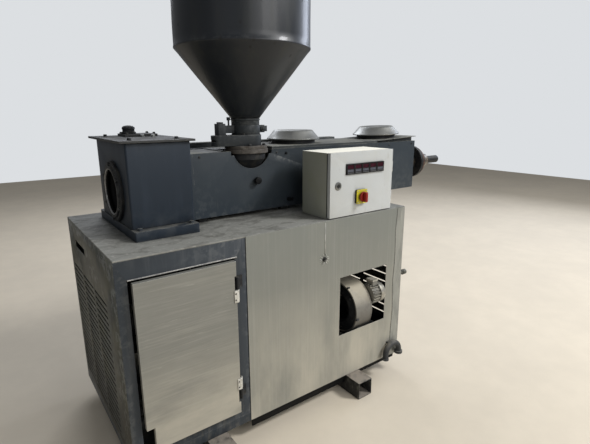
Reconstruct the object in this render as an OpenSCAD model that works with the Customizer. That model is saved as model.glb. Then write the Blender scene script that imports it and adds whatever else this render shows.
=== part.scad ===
// Single-screw plastic extruder on a sheet metal base cabinet.
// X runs along the screw, with the die at +X. The doors open toward -Y.
// The origin is on the floor under the middle of the machine.

/* [Base cabinet] */
// Length of the cabinet along the screw
cab_l = 1440; // [1420:10:1600]
// Depth of the cabinet from front to rear
cab_w = 790; // [740:10:900]
// Height of the cabinet without its feet
cab_h = 838; // [780:2:950]
// Thickness of the painted sheet
sheet_t = 3; // [2:0.5:4]
// Thickness of the table plate
table_t = 6; // [5:1:12]
// Outer size of the square tube feet
foot_tube = 90; // [70:5:120]
// Wall of the square tube feet
foot_wall = 5; // [3:1:8]
// How far the feet stand out in front and behind
foot_reach = 95; // [60:5:140]
// Distance of each foot from its end of the cabinet
foot_inset = 290; // [250:10:330]
// Width of the left bay, up to the stainless sheet
bay_l = 495; // [480:5:540]

/* [Front door] */
// Width of the steel door
door_w = 388; // [340:2:400]
// Height of the steel door
door_h = 668; // [560:4:680]
// Thickness of the folded door
door_t = 20; // [16:1:26]
// Running gap between a door and what it closes
door_gap = 5; // [5:0.5:8]
// Radius of the hinge pins
pin_r = 3; // [2.5:0.5:4]
// Radial play on every hinge pin
pin_play = 0.05; // [0.03:0.01:0.1]
// Outer radius of the hinge knuckles
knuckle_r = 7; // [6:0.5:8]

/* [Front sheet and blower] */
// Width of the window in the stainless sheet
win_w = 320; // [300:5:340]
// Height of the window in the stainless sheet
win_h = 303; // [290:1:330]
// Radius of the blower scroll
scroll_r = 138; // [120:2:144]
// Width of the blower scroll along X
scroll_w = 112; // [90:2:120]
// Radius of the blower motor
motor_r = 56; // [48:1:60]

/* [Gearbox] */
// Length of the gear case along X
gear_l = 252; // [220:2:280]
// Depth of the gear case
gear_w = 430; // [400:10:440]
// Height of the gear case above its foot
gear_h = 323; // [290:1:350]
// Thickness of the foot flange
gear_foot_t = 38; // [25:1:45]
// Height of the screw axis above the table
axis_h = 161; // [155:1:170]
// Distance of the screw axis from the cabinet front
axis_y = 400; // [396:1:410]
// Distance of the gear case from the cabinet front
gear_y = 210; // [195:5:225]

/* [Barrel cover] */
// Length of the cover over the barrel
cover_l = 1476; // [1440:4:1520]
// Distance of the cover from the cabinet front
cover_y = 292; // [286:1:296]
// Depth of the cover
cover_w = 308; // [300:2:330]
// Height of the cover
cover_h = 282; // [272:2:290]
// Height of the gap under the cover
cover_gap = 20; // [16:1:26]
// Height of the folded lid on the cover
lid_h = 13; // [8:1:18]
// Rim radius of the two vent hats
hat_r = 138; // [110:2:142]
// Radius of the barrel
barrel_r = 52; // [45:1:60]
// How far the barrel reaches past the cover
barrel_out = 90; // [80:2:110]
// How far the barrel and die reach past the cover
die_reach = 370; // [340:2:400]

/* [Feed throat and hopper] */
// Distance from the gear case to the middle of the feed throat
throat_x = 329; // [320:1:345]
// Distance of the feed throat from the cabinet front
throat_y = 345; // [342:1:350]
// Radius of the round feed flange
flange_r = 101; // [96:1:106]
// Thickness of the round feed flange
flange_t = 34; // [28:1:36]
// Height of the slide gate body
gate_h = 47; // [40:1:54]
// Radius of the throat neck
neck_r = 64; // [58:1:67]
// Height of the throat neck
neck_h = 71; // [66:1:90]
// Radius of the hopper cylinder
hopper_r = 296; // [280:2:310]
// Height of the hopper cone
cone_h = 293; // [260:2:330]
// Height of the hopper cylinder
cyl_h = 318; // [240:5:400]
// Wall of the hopper
hopper_t = 3; // [2:0.5:4]

/* [Control box] */
// Width of the enclosure
box_w = 400; // [380:5:420]
// Height of the enclosure
box_h = 296; // [280:2:320]
// Depth of the enclosure with its door
box_d = 200; // [180:5:210]
// Thickness of the enclosure door
box_door_t = 20; // [16:1:24]
// Side of one square temperature controller
ctrl_s = 48; // [44:1:50]
// Number of temperature controllers
ctrl_n = 5; // [3:1:5]

/* [Hidden] */
$fn = 48;
seat = 0.3;
cab_z = foot_tube;
table_z = cab_z + cab_h;
under_z = table_z - table_t;
gear_x = 131;
gear_x2 = gear_x + gear_l;
cover_x = gear_x2 + 1;
cover_x2 = cover_x + cover_l;
total_l = cover_x2 + die_reach;
axis_z = table_z + axis_h;
gear_z = table_z + gear_foot_t;
gear_top = gear_z + gear_h;
ring_r = axis_h - gear_foot_t - 1;
cover_z = table_z + cover_gap;
cover_top = cover_z + cover_h;
lid_top = cover_top + lid_h;
tx = gear_x2 + throat_x;
flange_z = cover_top - 12;
gate_z = flange_z + flange_t;
neck_z = gate_z + gate_h;
cast_r = flange_r - 13;
cast_lip = 26;
waist_r = 78;
waist_z = axis_z + 40;
cast_y = throat_y - cast_r;
notch_r = cast_r + 11;
notch_z = flange_z - cast_lip - (cover_y + sheet_t - cast_y)
    * (flange_z - cast_lip - waist_z) / (axis_y - waist_r - cast_y) - 6;
cone_z = neck_z + neck_h;
cyl_z = cone_z + cone_h;
hopper_top = cyl_z + cyl_h;
hinge_x = bay_l - 49;
door_x = hinge_x - 8 - door_w;
door_z = cab_z + 86;
door_y = -door_gap - door_t;
hinge_y = -door_gap - door_t / 2;
open_x = door_x - 10;
open_x2 = bay_l - 50;
open_z = cab_z + 75;
open_z2 = table_z - 78;
knuckle_h = 50;
hinge_z1 = door_z + 110;
hinge_z2 = door_z + door_h - 170;
sheet_x = bay_l + 2;
sheet_x2 = cab_l - 1;
win_x = cab_l - 118 - win_w;
win_z = cab_z + 242;
shaft_y = 34;
shaft_z = win_z + 150;
scroll_x = win_x + 110;
scroll_y = scroll_r - 10;
scroll_z = shaft_z - 72;
shelf_z = scroll_z - scroll_r - seat;
box_x = cab_l - 109 - box_w;
box_x2 = box_x + box_w;
box_by = box_door_t + door_gap;
box_hx = box_x2 + 8;
box_hy = box_door_t / 2 + 2;
ctrl_x = box_x + 91;
ctrl_z = table_z + box_h * 0.66;
knob_x = box_x + box_w * 0.465;
knob_z = table_z + box_h * 0.3;
plate_t = 14;
rail_n = 3;
rail_pitch = (cab_h - 418) / 2;
rail_z = cab_z + 200;
knob_y = -plate_t - door_gap;
band_n = 5;
band_x = tx + 150;
band_pitch = (cover_x2 + barrel_out - 10 - band_x) / band_n;
band_w = band_pitch - 26;
end_x = cover_x + 1151;
end_l = cover_l - 1142;
end_rise = 15;
end_slope = atan(end_rise / end_l);
hat_foot = hat_r - 24;
hat_y = cover_y + cover_w / 2;
hat_x1 = cover_x + 673;
hat_x2 = cover_x + 1296;

// Moves a piece from the cabinet's front left corner to the middle of the machine.
module origin() {
    translate([-total_l / 2, -cab_w / 2, 0]) children();
}

// A block from one corner with its three sizes.
module block(at, size) {
    translate(at) cube(size);
}

// A cylinder along X from a start point.
module rod_x(at, r, h) {
    translate(at) rotate([0, 90, 0]) cylinder(r = r, h = h);
}

// A cylinder toward -Y from a start point.
module rod_y(at, r, h) {
    translate(at) rotate([90, 0, 0]) cylinder(r = r, h = h);
}

// A flat plate in the XY plane with rounded corners.
module round_plate(at, size, r) {
    translate(at) linear_extrude(size[2]) {
        translate([r, 0]) square([size[0] - 2 * r, size[1]]);
        translate([0, r]) square([size[0], size[1] - 2 * r]);
        for (x = [r, size[0] - r], y = [r, size[1] - r]) translate([x, y]) circle(r = r, $fn = 32);
    }
}

// A hexagon bolt head with its washer, standing on z = 0.
module bolt_head(d) {
    cylinder(r = d, h = 2);
    translate([0, 0, 2]) cylinder(r = d * 0.88, h = d * 0.62, $fn = 6);
}

// One square tube foot, open at both ends.
module foot_tube_at(x) {
    difference() {
        block([x, -foot_reach, 0], [foot_tube, cab_w + 2 * foot_reach, foot_tube]);
        block([x + foot_wall, -foot_reach - 1, foot_wall],
            [foot_tube - 2 * foot_wall, cab_w + 2 * foot_reach + 2, foot_tube - 2 * foot_wall]);
    }
}

module foot_left() {
    color("#3a3c3e") origin() foot_tube_at(foot_inset);
}

module foot_right() {
    color("#3a3c3e") origin() foot_tube_at(cab_l - foot_inset - foot_tube);
}

module floor_pan() {
    color("#3f4347") origin() {
        difference() {
            block([0, 0, cab_z], [cab_l, cab_w, 40]);
            block([sheet_t, sheet_t, cab_z + sheet_t], [cab_l - 2 * sheet_t, cab_w - 2 * sheet_t, 40]);
        }
    }
}

// Painted frame round the door, with a bright lip over the opening.
module front_frame() {
    color("#45494e") origin() {
        difference() {
            block([0, 0, cab_z + 40], [bay_l, sheet_t, cab_h - 40 - table_t]);
            block([open_x, -1, open_z], [open_x2 - open_x, sheet_t + 2, open_z2 - open_z]);
        }
        block([open_x, -4, open_z2], [open_x2 - open_x + 10, 4, 4]);
        block([open_x - 3, sheet_t, open_z2], [open_x2 - open_x + 3, 22, 3]);
        block([open_x - 3, sheet_t, open_z - 3], [open_x2 - open_x + 3, 22, 3]);
        block([open_x - 3, sheet_t, open_z], [3, 22, open_z2 - open_z]);
    }
}

module mid_post() {
    color("#45494e") origin() {
        difference() {
            block([open_x2 + 2, sheet_t, cab_z + 40], [48, 46, cab_h - 40 - table_t]);
            block([open_x2 + 5, sheet_t + 3, cab_z + 39], [42, 40, cab_h - 38 - table_t]);
        }
    }
}

// Left end with its rows of louvres and a hand hole near the top.
module louvre_end() {
    rows = 22;
    cols = 3;
    span = cab_w - 190;
    slot_l = (span - (cols - 1) * 24) / cols;
    pitch = (cab_h - 270) / rows;
    color("#45494e") origin() {
        difference() {
            block([0, sheet_t, cab_z + 40], [sheet_t, cab_w - 2 * sheet_t, cab_h - 40 - table_t]);
            for (r = [0 : rows - 1], c = [0 : cols - 1])
                block([-1, 160 + c * (slot_l + 24), cab_z + 75 + r * pitch], [sheet_t + 2, slot_l, 9]);
            block([-1, 470, table_z - 108], [sheet_t + 2, 180, 30]);
        }
        for (r = [0 : rows - 1], c = [0 : cols - 1])
            translate([sheet_t - 0.6, 159 + c * (slot_l + 24), cab_z + 85 + r * pitch])
                rotate([0, 35, 0]) cube([12, slot_l + 2, 1.2]);
        block([sheet_t, sheet_t, cab_z + 40], [28, 2, cab_h - 40 - table_t]);
        block([sheet_t, cab_w - sheet_t - 2, cab_z + 40], [28, 2, cab_h - 40 - table_t]);
    }
}

// Right end, slotted behind the blower so that it can draw air.
module vent_end() {
    rows = 12;
    slot_pitch = 46;
    color("#45494e") origin() {
        difference() {
            block([cab_l - sheet_t, sheet_t, cab_z + 40],
                [sheet_t, cab_w - 2 * sheet_t, cab_h - 40 - table_t]);
            for (r = [0 : rows - 1], c = [0 : 2])
                block([cab_l - sheet_t - 1, 70 + c * 226, cab_z + 110 + r * slot_pitch],
                    [sheet_t + 2, 200, 8]);
        }
        block([cab_l - sheet_t - 26, sheet_t, cab_z + 40], [26, 2, cab_h - 40 - table_t]);
        rod_x([cab_l, 30, cab_z + 455], 9, 48);
        rod_x([cab_l + 48, 30, cab_z + 455], 14, 24);
    }
}

module rear_panel() {
    color("#45494e") origin()
        block([0, cab_w - sheet_t, cab_z + 40], [cab_l, sheet_t, cab_h - 40 - table_t]);
}

module table_plate() {
    color("#85857f") origin() block([0, 0, under_z], [cab_l, cab_w, table_t]);
}

// Brushed stainless sheet with the blower window and its folded right edge.
module front_sheet() {
    top = table_z - 2;
    color("#8e8e86") origin() {
        difference() {
            block([sheet_x, -2, cab_z + 3], [sheet_x2 - sheet_x, 2, top - cab_z - 3]);
            block([win_x, -3, win_z], [win_w, 4, win_h]);
            block([sheet_x + 76, -3, top - 36], [4, 4, 10]);
        }
        block([sheet_x2 - 34, -5, cab_z + 3], [34, 3, top - cab_z - 3]);
        block([sheet_x, 0, cab_z + 42], [18, 3, cab_h - 48 - table_t]);
        block([sheet_x2 - 40, 0, cab_z + 42], [18, 3, cab_h - 48 - table_t]);
    }
}

module sheet_lock() {
    color("#4a4a48") origin() {
        rod_y([sheet_x + 404, -2, table_z - 178], 11, 3);
        rod_y([sheet_x + 404, -5, table_z - 178], 7, 8);
        block([sheet_x + 402, -17, table_z - 186], [4, 4, 16]);
    }
}

// Folded door, cut away at the lower left corner and at the fixed knuckles.
module front_door() {
    color("#918f87") origin() {
        difference() {
            block([door_x, door_y, door_z], [door_w, door_t, door_h]);
            block([door_x + 2, door_y + 2, door_z + 2], [door_w - 4, door_t, door_h - 4]);
            block([door_x - 1, door_y - 1, door_z - 1], [31, door_t + 2, 97]);
            block([door_x + door_w - 8, door_y - 1, hinge_z1 - knuckle_h - 9],
                [10, door_t + 2, knuckle_h + 8]);
            block([door_x + door_w - 8, door_y - 1, hinge_z2 + knuckle_h + 1],
                [10, door_t + 2, knuckle_h + 8]);
        }
        block([door_x + 30, door_y + 2, door_z + 2], [2, door_t - 2, 96]);
        block([door_x + 2, door_y + 2, door_z + 96], [30, door_t - 2, 2]);
        block([door_x + door_w - 12, door_y + 2, door_z + 2], [2, door_t - 4, door_h - 4]);
    }
}

// Light hinge leaves that turn with the door.
module door_knuckles() {
    color("#c9c9c4") origin() {
        for (z = [hinge_z1, hinge_z2]) {
            difference() {
                union() {
                    translate([hinge_x, hinge_y, z]) cylinder(r = knuckle_r, h = knuckle_h);
                    block([hinge_x - 8, hinge_y - 5, z], [6, 10, knuckle_h]);
                    block([hinge_x - 20, door_y - 3, z], [20, 3, knuckle_h]);
                    block([hinge_x - 8, door_y - 3, z], [8, 10, knuckle_h]);
                }
                translate([hinge_x, hinge_y, z - 1]) cylinder(r = pin_r + pin_play, h = knuckle_h + 2);
            }
        }
    }
}

// Dark hinge halves on the frame, each with the pin that carries the door.
module frame_knuckles() {
    color("#232527") origin() {
        for (z = [hinge_z1 - knuckle_h - 1, hinge_z2 + knuckle_h + 1]) {
            translate([hinge_x, hinge_y, z]) cylinder(r = knuckle_r, h = knuckle_h);
            block([hinge_x, hinge_y, z], [knuckle_r, -hinge_y, knuckle_h]);
            block([hinge_x, -3, z], [30, 3, knuckle_h]);
        }
        translate([hinge_x, hinge_y, hinge_z1 - 2]) cylinder(r = pin_r, h = knuckle_h + 8);
        translate([hinge_x, hinge_y, hinge_z2 - 6]) cylinder(r = pin_r, h = knuckle_h + 8);
    }
}

// Bent hose elbow that hangs at the lower right corner.
module hose_elbow() {
    r = 15;
    cuff_r = r + 7;
    bend_r = 51;
    x = cab_l - 66;
    z = cab_z + 38;
    y = -cuff_r - 7;
    color("#2f3133") origin() {
        translate([x, y, z]) rotate([90, 0, 0])
            rotate_extrude(angle = 180) translate([bend_r, 0]) circle(r = r);
        translate([x - bend_r, y, z - 24]) cylinder(r = r, h = 24);
        translate([x - bend_r, y, z - 32]) cylinder(r = r + 3, h = 8);
        translate([x + bend_r, y, z - 8]) cylinder(r = r, h = 8);
        translate([x + bend_r, y, z - 22]) cylinder(r = cuff_r, h = 14);
        block([x - 22, -22, z + bend_r - 6], [44, 20, 12]);
    }
}

// Shelf from the front to the rear panel that carries the blower.
module blower_shelf() {
    x = scroll_x - 60;
    l = win_x + win_w + 20 - x;
    front_h = 30;
    color("#3b3e42") origin() {
        block([x, 12, shelf_z - sheet_t], [l, cab_w - 12 - sheet_t, sheet_t]);
        block([x, 12, shelf_z - front_h], [l, sheet_t, front_h - sheet_t]);
    }
}

// Round scroll with a dark inlet ring on its left side and an outlet to the rear.
module blower_scroll() {
    color("#97948c") origin() {
        difference() {
            union() {
                rod_x([scroll_x, scroll_y, scroll_z], scroll_r, scroll_w);
                block([scroll_x + 6, scroll_y, scroll_z + scroll_r - 90], [scroll_w - 12, 190, 90]);
            }
            rod_x([scroll_x - 1, scroll_y, scroll_z], scroll_r - 4, 9);
            rod_x([scroll_x + 4, scroll_y, scroll_z], scroll_r * 0.52, scroll_w - 10);
        }
        difference() {
            rod_x([scroll_x + 5, scroll_y, scroll_z], scroll_r * 0.62, 5);
            rod_x([scroll_x + 4, scroll_y, scroll_z], scroll_r * 0.5, 7);
        }
    }
}

// Finned motor with its terminal box and fan cowl.
module blower_motor() {
    x0 = scroll_x + scroll_w + seat;
    body_l = 44;
    cowl_l = win_x + win_w - 12 - x0 - body_l;
    color("#6e6c66") origin() {
        rod_x([x0, shaft_y + 30, shaft_z - 24], motor_r * 0.94, 6);
        rod_x([x0 + 4, shaft_y, shaft_z], motor_r * 0.84, body_l);
        for (a = [0 : 15 : 345])
            translate([x0 + 4, shaft_y, shaft_z]) rotate([a, 0, 0])
                block([0, -1.5, motor_r * 0.8], [body_l, 3, motor_r * 0.16]);
        rod_x([x0 + 4 + body_l, shaft_y, shaft_z], motor_r, cowl_l);
        block([x0 + 6, shaft_y - 20, shaft_z + motor_r * 0.7], [34, 44, 34]);
    }
}

module gear_foot() {
    y0 = gear_y - 45;
    color("#3b4047") origin() {
        round_plate([gear_x - 4, y0, table_z], [gear_l + 4, gear_w + 90, gear_foot_t], 6);
        for (x = [gear_x + 22, gear_x2 - 24], y = [y0 + 22, gear_y + gear_w + 23])
            translate([x, y, gear_z]) bolt_head(11);
    }
}

module gear_case() {
    color("#3b4047") origin() {
        difference() {
            round_plate([gear_x, gear_y, gear_z], [gear_l, gear_w, gear_h], 8);
            rod_x([gear_x - 1, axis_y, axis_z], 96, 60);
        }
    }
}

module gear_lid() {
    color("#3a3d40") origin() {
        difference() {
            block([gear_x - 22, gear_y - 14, gear_top], [gear_l + 40, gear_w + 60, 9]);
            translate([gear_x + 116, gear_y + 340, gear_top - 1]) cylinder(r = 14, h = 12);
        }
        for (x = [gear_x + 30, gear_x2 - 40], y = [gear_y + 40, gear_y + gear_w - 40])
            translate([x, y, gear_top + 9]) bolt_head(8);
    }
}

// Ring round the rear bearing bore of the gear case.
module gear_ring() {
    color("#2b2e32") origin() {
        difference() {
            rod_x([gear_x - 14, axis_y, axis_z], ring_r, 14);
            rod_x([gear_x - 15, axis_y, axis_z], 92, 16);
        }
        difference() {
            rod_x([gear_x - 20, axis_y, axis_z], ring_r - 18, 6);
            rod_x([gear_x - 21, axis_y, axis_z], 92, 8);
        }
        for (a = [30 : 60 : 330])
            translate([gear_x - 14, axis_y, axis_z]) rotate([a, 0, 0]) translate([0, 0, ring_r - 9])
                rotate([0, -90, 0]) cylinder(r = 5, h = 4, $fn = 6);
    }
}

module gear_breather() {
    color("#1f2123") origin() {
        translate([gear_x + 116, gear_y + 340, gear_top]) cylinder(r = 13.7, h = 16);
        translate([gear_x + 116, gear_y + 340, gear_top + 16]) cylinder(r1 = 32, r2 = 22, h = 16);
    }
}

// Long sheet cover, open below and at the die end, cut out round the feed throat.
module barrel_cover() {
    t = sheet_t;
    slack = 6;
    color("#43474b") origin() {
        difference() {
            block([cover_x, cover_y, cover_z], [cover_l, cover_w, cover_h]);
            block([cover_x + t, cover_y + t, cover_z - 1],
                [cover_l, cover_w - 2 * t, cover_h - t + 1]);
            block([tx - flange_r - slack, cover_y - 1, flange_z - slack],
                [2 * (flange_r + slack), throat_y + flange_r + slack - cover_y + 1, 60]);
            rod_y([tx, cover_y + t + 1, notch_z + notch_r], notch_r, t + 2);
            block([cover_x + 40, cover_y + 12, cover_top - t - 1],
                [tx - flange_r - 60 - cover_x, cover_w - 60, t + 2]);
            block([cover_x - 1, axis_y - 70, cover_z - 1], [t + 2, 140, axis_z - cover_z + 71]);
            for (x = [hat_x1, hat_x2])
                translate([x, hat_y, cover_top - t - 1]) cylinder(r = hat_foot - 12, h = t + 2);
            for (x = [cover_x + 90, cover_x + 560, cover_x + 1000])
                block([x, cover_y + cover_w - t - 1, cover_z + 60], [60, t + 2, 20]);
        }
        block([cover_x, cover_y - 2, cover_z], [40, 2, cover_h]);
        block([end_x - 3, cover_y - 1.5, cover_z + 8], [3, 1.5, cover_h - 16]);
    }
}

// Folded lid over the heated part of the barrel, from the throat to the end lid.
module cover_lid() {
    x0 = tx + flange_r + 8;
    x1 = end_x - 1;
    color("#50544f") origin() {
        difference() {
            block([x0, cover_y, cover_top], [x1 - x0, cover_w, lid_h]);
            block([x0 + 3, cover_y + 3, cover_top - 1], [x1 - x0 - 6, cover_w - 6, lid_h - 1]);
            translate([hat_x1, hat_y, cover_top - 1]) cylinder(r = hat_foot - 12, h = lid_h + 2);
        }
    }
}

// Loose end lid: a thin sheet whose die end stands a little higher, on two wedge-shaped inner ribs.
module end_lid() {
    t = 3;
    inset = 22;
    color("#4a4e4c") origin() {
        difference() {
            union() {
                translate([end_x, cover_y + cover_w, cover_top]) rotate([90, 0, 0])
                    linear_extrude(cover_w)
                    polygon([[0, lid_h - t], [end_l, lid_h + end_rise - t],
                        [end_l, lid_h + end_rise], [0, lid_h]]);
                for (y = [cover_y + inset, cover_y + cover_w - inset - t])
                    translate([end_x, y + t, cover_top]) rotate([90, 0, 0]) linear_extrude(t)
                        polygon([[0, 0], [end_l - 14, 0],
                            [end_l - 14, lid_h + end_rise - 1.5], [0, lid_h - 1]]);
            }
            translate([hat_x2, hat_y, cover_top - 1]) cylinder(r = hat_foot - 12, h = lid_h + 40);
        }
    }
}

// Short legs that hold the cover off the table.
module cover_feet() {
    color("#1e1f21") origin() {
        for (x = [cover_x + 60, cover_x + 500, cab_l - 90], y = [cover_y + 20, cover_y + cover_w - 50])
            block([x, y, table_z], [40, 30, cover_gap]);
        for (x = [cover_x + 60, cover_x + 500, cab_l - 90], y = [cover_y + 3, cover_y + cover_w - 23])
            block([x, y, cover_z], [40, 20, 3]);
    }
}

module cover_knobs() {
    color("#1c1d1f") origin() {
        rod_y([cover_x + 347, cover_y, cover_z + 144], 8, 10);
        rod_y([cover_x + 347, cover_y - 10, cover_z + 144], 16, 14);
        rod_y([cover_x + 517, cover_y, cover_z + 260], 6, 6);
        rod_y([cover_x + 529, cover_y, cover_z + 34], 9, 8);
        block([cover_x + 525, cover_y - 12, cover_z + 26], [26, 4, 16]);
    }
}

// Cable duct along the rear of the cover.
module rear_duct() {
    color("#43474b") origin()
        block([cover_x, cover_y + cover_w, cover_top - 60], [1100, 50, 84]);
}

// Round vent cap with a low conical roof over a dark ring, tilted with its lid.
module vent_hat(x, z, tilt) {
    translate([x, hat_y, z]) rotate([0, -tilt, 0]) rotate_extrude($fn = 64) {
        polygon([[hat_foot - 14, 0], [hat_foot, 0], [hat_foot, 20], [hat_r, 20], [hat_r, 26],
            [hat_r - 36, 66], [0, 66], [0, 62], [hat_r - 40, 62], [hat_foot - 14, 50]]);
    }
}

module vent_hat_left() {
    color("#8a8a86") origin() vent_hat(hat_x1, lid_top, 0);
}

module vent_hat_right() {
    z = lid_top + (hat_x2 - end_x) * end_rise / end_l + seat;
    color("#8a8a86") origin() vent_hat(hat_x2, z, end_slope);
}

module barrel() {
    color("#4b4d50") origin() {
        difference() {
            rod_x([gear_x2, axis_y, axis_z], barrel_r, cover_x2 + barrel_out - gear_x2);
            rod_x([gear_x2 - 1, axis_y, axis_z], barrel_r * 0.55, total_l);
            block([tx - 34, axis_y - 26, axis_z], [68, 52, barrel_r + 1]);
        }
    }
}

module heater_bands() {
    color("#5a5854") origin() {
        for (i = [0 : band_n - 1]) {
            x = band_x + i * band_pitch;
            difference() {
                rod_x([x, axis_y, axis_z], barrel_r + 14, band_w);
                rod_x([x - 1, axis_y, axis_z], barrel_r + seat, band_w + 2);
            }
            block([x + band_w / 2 - 20, axis_y - 20, axis_z + barrel_r + 8], [40, 40, 26]);
        }
    }
}

module die_flange() {
    x = cover_x2 + barrel_out + seat;
    r = 100;
    color("#4a3f38") origin() {
        difference() {
            union() {
                rod_x([x, axis_y, axis_z], r, 24);
                rod_x([x + 24 + seat, axis_y, axis_z], r - 8, 20);
            }
            rod_x([x - 1, axis_y, axis_z], barrel_r * 0.55, 60);
        }
        for (a = [22.5 : 45 : 337.5])
            translate([x + 44, axis_y, axis_z]) rotate([a, 0, 0]) translate([0, 0, r - 24])
                rotate([0, 90, 0]) cylinder(r = 9, h = 10, $fn = 6);
    }
}

// Adaptor, heated die body and the round die nozzle.
module die_head() {
    x = cover_x2 + barrel_out + 2 * seat + 44;
    color("#2d2b2a") origin() {
        difference() {
            union() {
                rod_x([x, axis_y, axis_z], 44, 22);
                rod_x([x + 22, axis_y, axis_z], 60, 26);
                rod_x([x + 48, axis_y, axis_z], 36, 58);
                rod_x([x + 106, axis_y, axis_z], 24, total_l - x - 106);
                translate([x + 77, axis_y, axis_z - 58]) cylinder(r = 9, h = 30);
                translate([x + 77, axis_y, axis_z - 66]) cylinder(r = 15, h = 12, $fn = 6);
            }
            rod_x([x - 1, axis_y, axis_z], 14, total_l);
        }
    }
}

// Cast feed housing: a block round the barrel that leans out to a round neck under the flange.
module feed_block() {
    color("#26282a") origin() {
        difference() {
            union() {
                block([tx - waist_r + 2, axis_y - waist_r, axis_z - waist_r],
                    [2 * waist_r - 4, 2 * waist_r, waist_r + 52]);
                hull() {
                    translate([tx, throat_y, flange_z - cast_lip]) cylinder(r = cast_r, h = cast_lip);
                    translate([tx, axis_y, waist_z]) cylinder(r = waist_r, h = 10);
                }
            }
            hull() {
                translate([tx, throat_y, flange_z]) cylinder(r = neck_r - 18, h = 1);
                translate([tx, axis_y - 4, axis_z + barrel_r - 20]) cylinder(r = 24, h = 1);
            }
            rod_x([tx - 81, axis_y, axis_z], barrel_r + seat, 162);
        }
    }
}

module feed_flange() {
    color("#96826e") origin() translate([tx, throat_y, flange_z]) {
        difference() {
            union() {
                cylinder(r = flange_r - 3, h = flange_t);
                cylinder(r = flange_r, h = flange_t * 0.55);
            }
            translate([0, 0, -1]) cylinder(r = neck_r - 18, h = flange_t + 2);
        }
    }
}

// Slide gate body, narrow at the left end and round at the right.
module gate_block() {
    r = 71;
    end_r = 34;
    reach = 138;
    color("#3c4043") origin() translate([tx, throat_y, gate_z]) {
        difference() {
            linear_extrude(gate_h) hull() {
                circle(r = r);
                translate([-reach, 0]) circle(r = end_r);
            }
            translate([0, 0, -1]) cylinder(r = neck_r - 18, h = gate_h + 2);
            block([-reach - end_r - 1, -end_r + 12, gate_h / 2 - 4], [60, 2 * end_r - 24, 8]);
        }
    }
}

module throat_neck() {
    color("#3c4043") origin() translate([tx, throat_y, neck_z]) {
        difference() {
            union() {
                cylinder(r = neck_r, h = neck_h);
                translate([0, 0, neck_h - 7]) cylinder(r = neck_r + 3, h = 7);
            }
            translate([0, 0, -1]) cylinder(r = neck_r - 4, h = neck_h + 2);
        }
    }
}

// Clamp arm on the left of the neck with its upright lug and thumb screw, and the clamp bolt on the right.
module gate_arm() {
    z = neck_z + 8;
    color("#33373a") origin() translate([tx, throat_y, 0]) {
        difference() {
            union() {
                block([-143, -14, z], [91, 28, 34]);
                cylinder_at(0, 0, z, neck_r + 3, 34);
                block([50, -12, z], [46, 24, 34]);
            }
            cylinder_at(0, 0, z - 3, neck_r + seat, 60);
        }
        block([-146, -20, neck_z], [34, 40, 50]);
        block([-135, -20, neck_z + 50], [12, 40, 7]);
        translate([-86, 0, z + 34]) cylinder(r = 4, h = 28);
        translate([-86, 0, z + 56]) cylinder(r = 8, h = 8);
        translate([-88, -14, z + 60]) cube([4, 28, 10]);
        rod_y([82, -12, z + 18], 12, 12);
        rod_y([82, 30, z + 18], 7, 60);
        block([96, -5, z + 4], [18, 10, 26]);
    }
}

module cylinder_at(x, y, z, r, h) {
    translate([x, y, z]) cylinder(r = r, h = h);
}

// Cone of the hopper, welded to the neck below and to the cylinder above.
module hopper() {
    t = hopper_t;
    r = hopper_r;
    color("#3f4143") origin() translate([tx, throat_y, cone_z])
        rotate_extrude($fn = 96)
        polygon([[neck_r - 4, 0], [neck_r, 0], [r, cone_h], [r - t, cone_h], [neck_r - 4, 4]]);
}

// Cylinder of the hopper with its rolled rim.
module hopper_wall() {
    t = hopper_t;
    r = hopper_r;
    h = cyl_h;
    color("#3f4143") origin() translate([tx, throat_y, cyl_z])
        rotate_extrude($fn = 96)
        polygon([[r - t, 0], [r, 0], [r, h - 14], [r + 8, h - 14], [r + 8, h], [r - t, h]]);
}

module hopper_lid() {
    color("#44474a") origin() translate([tx, throat_y, hopper_top]) {
        rotate_extrude($fn = 96) polygon([[0, 0], [hopper_r + 12, 0], [hopper_r + 12, 4],
            [hopper_r - 20, 6], [60, 34], [0, 36]]);
        translate([-60, -8, 34]) cube([12, 16, 34]);
        translate([48, -8, 34]) cube([12, 16, 34]);
        translate([-60, -8, 56]) cube([120, 16, 12]);
    }
}

// Open enclosure body with a wiring space behind its door.
module box_body() {
    t = 2;
    color("#c8cccc") origin() {
        difference() {
            block([box_x, box_by, table_z], [box_w, box_d - box_by, box_h]);
            block([box_x + t, box_by - 1, table_z + t],
                [box_w - 2 * t, box_d - box_by - t + 1, box_h - 2 * t]);
        }
        for (x = [box_x + t, box_x2 - t - 14])
            block([x, box_by, table_z + t], [14, 2, box_h - 2 * t]);
        for (z = [table_z + t, table_z + box_h - t - 12])
            block([box_x + t, box_by, z], [box_w - 2 * t, 2, 12]);
        for (x = [box_x + 70, box_x2 - 110])
            block([x, box_d, table_z + 120], [40, cover_y - box_d, 30]);
    }
}

// Enclosure door with the cut-out for the controllers.
module box_door() {
    w = ctrl_n * ctrl_s + 4;
    color("#d2d6d5") origin() {
        difference() {
            block([box_x, 0, table_z + door_gap], [box_w, box_door_t, box_h - door_gap]);
            block([box_x + 2, 2, table_z + door_gap + 2],
                [box_w - 4, box_door_t, box_h - door_gap - 4]);
            block([ctrl_x, -1, ctrl_z], [w, 5, ctrl_s]);
            rod_y([knob_x, 6, knob_z], 5 + pin_play, 10);
        }
        for (z = [table_z + 60, table_z + box_h - 90]) difference() {
            union() {
                translate([box_hx, box_hy, z]) cylinder(r = 5.5, h = 30);
                block([box_x2 - 2, box_hy - 3, z], [box_hx - box_x2 + 2, 6, 30]);
            }
            translate([box_hx, box_hy, z - 1]) cylinder(r = pin_r + pin_play, h = 32);
        }
    }
}

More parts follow.
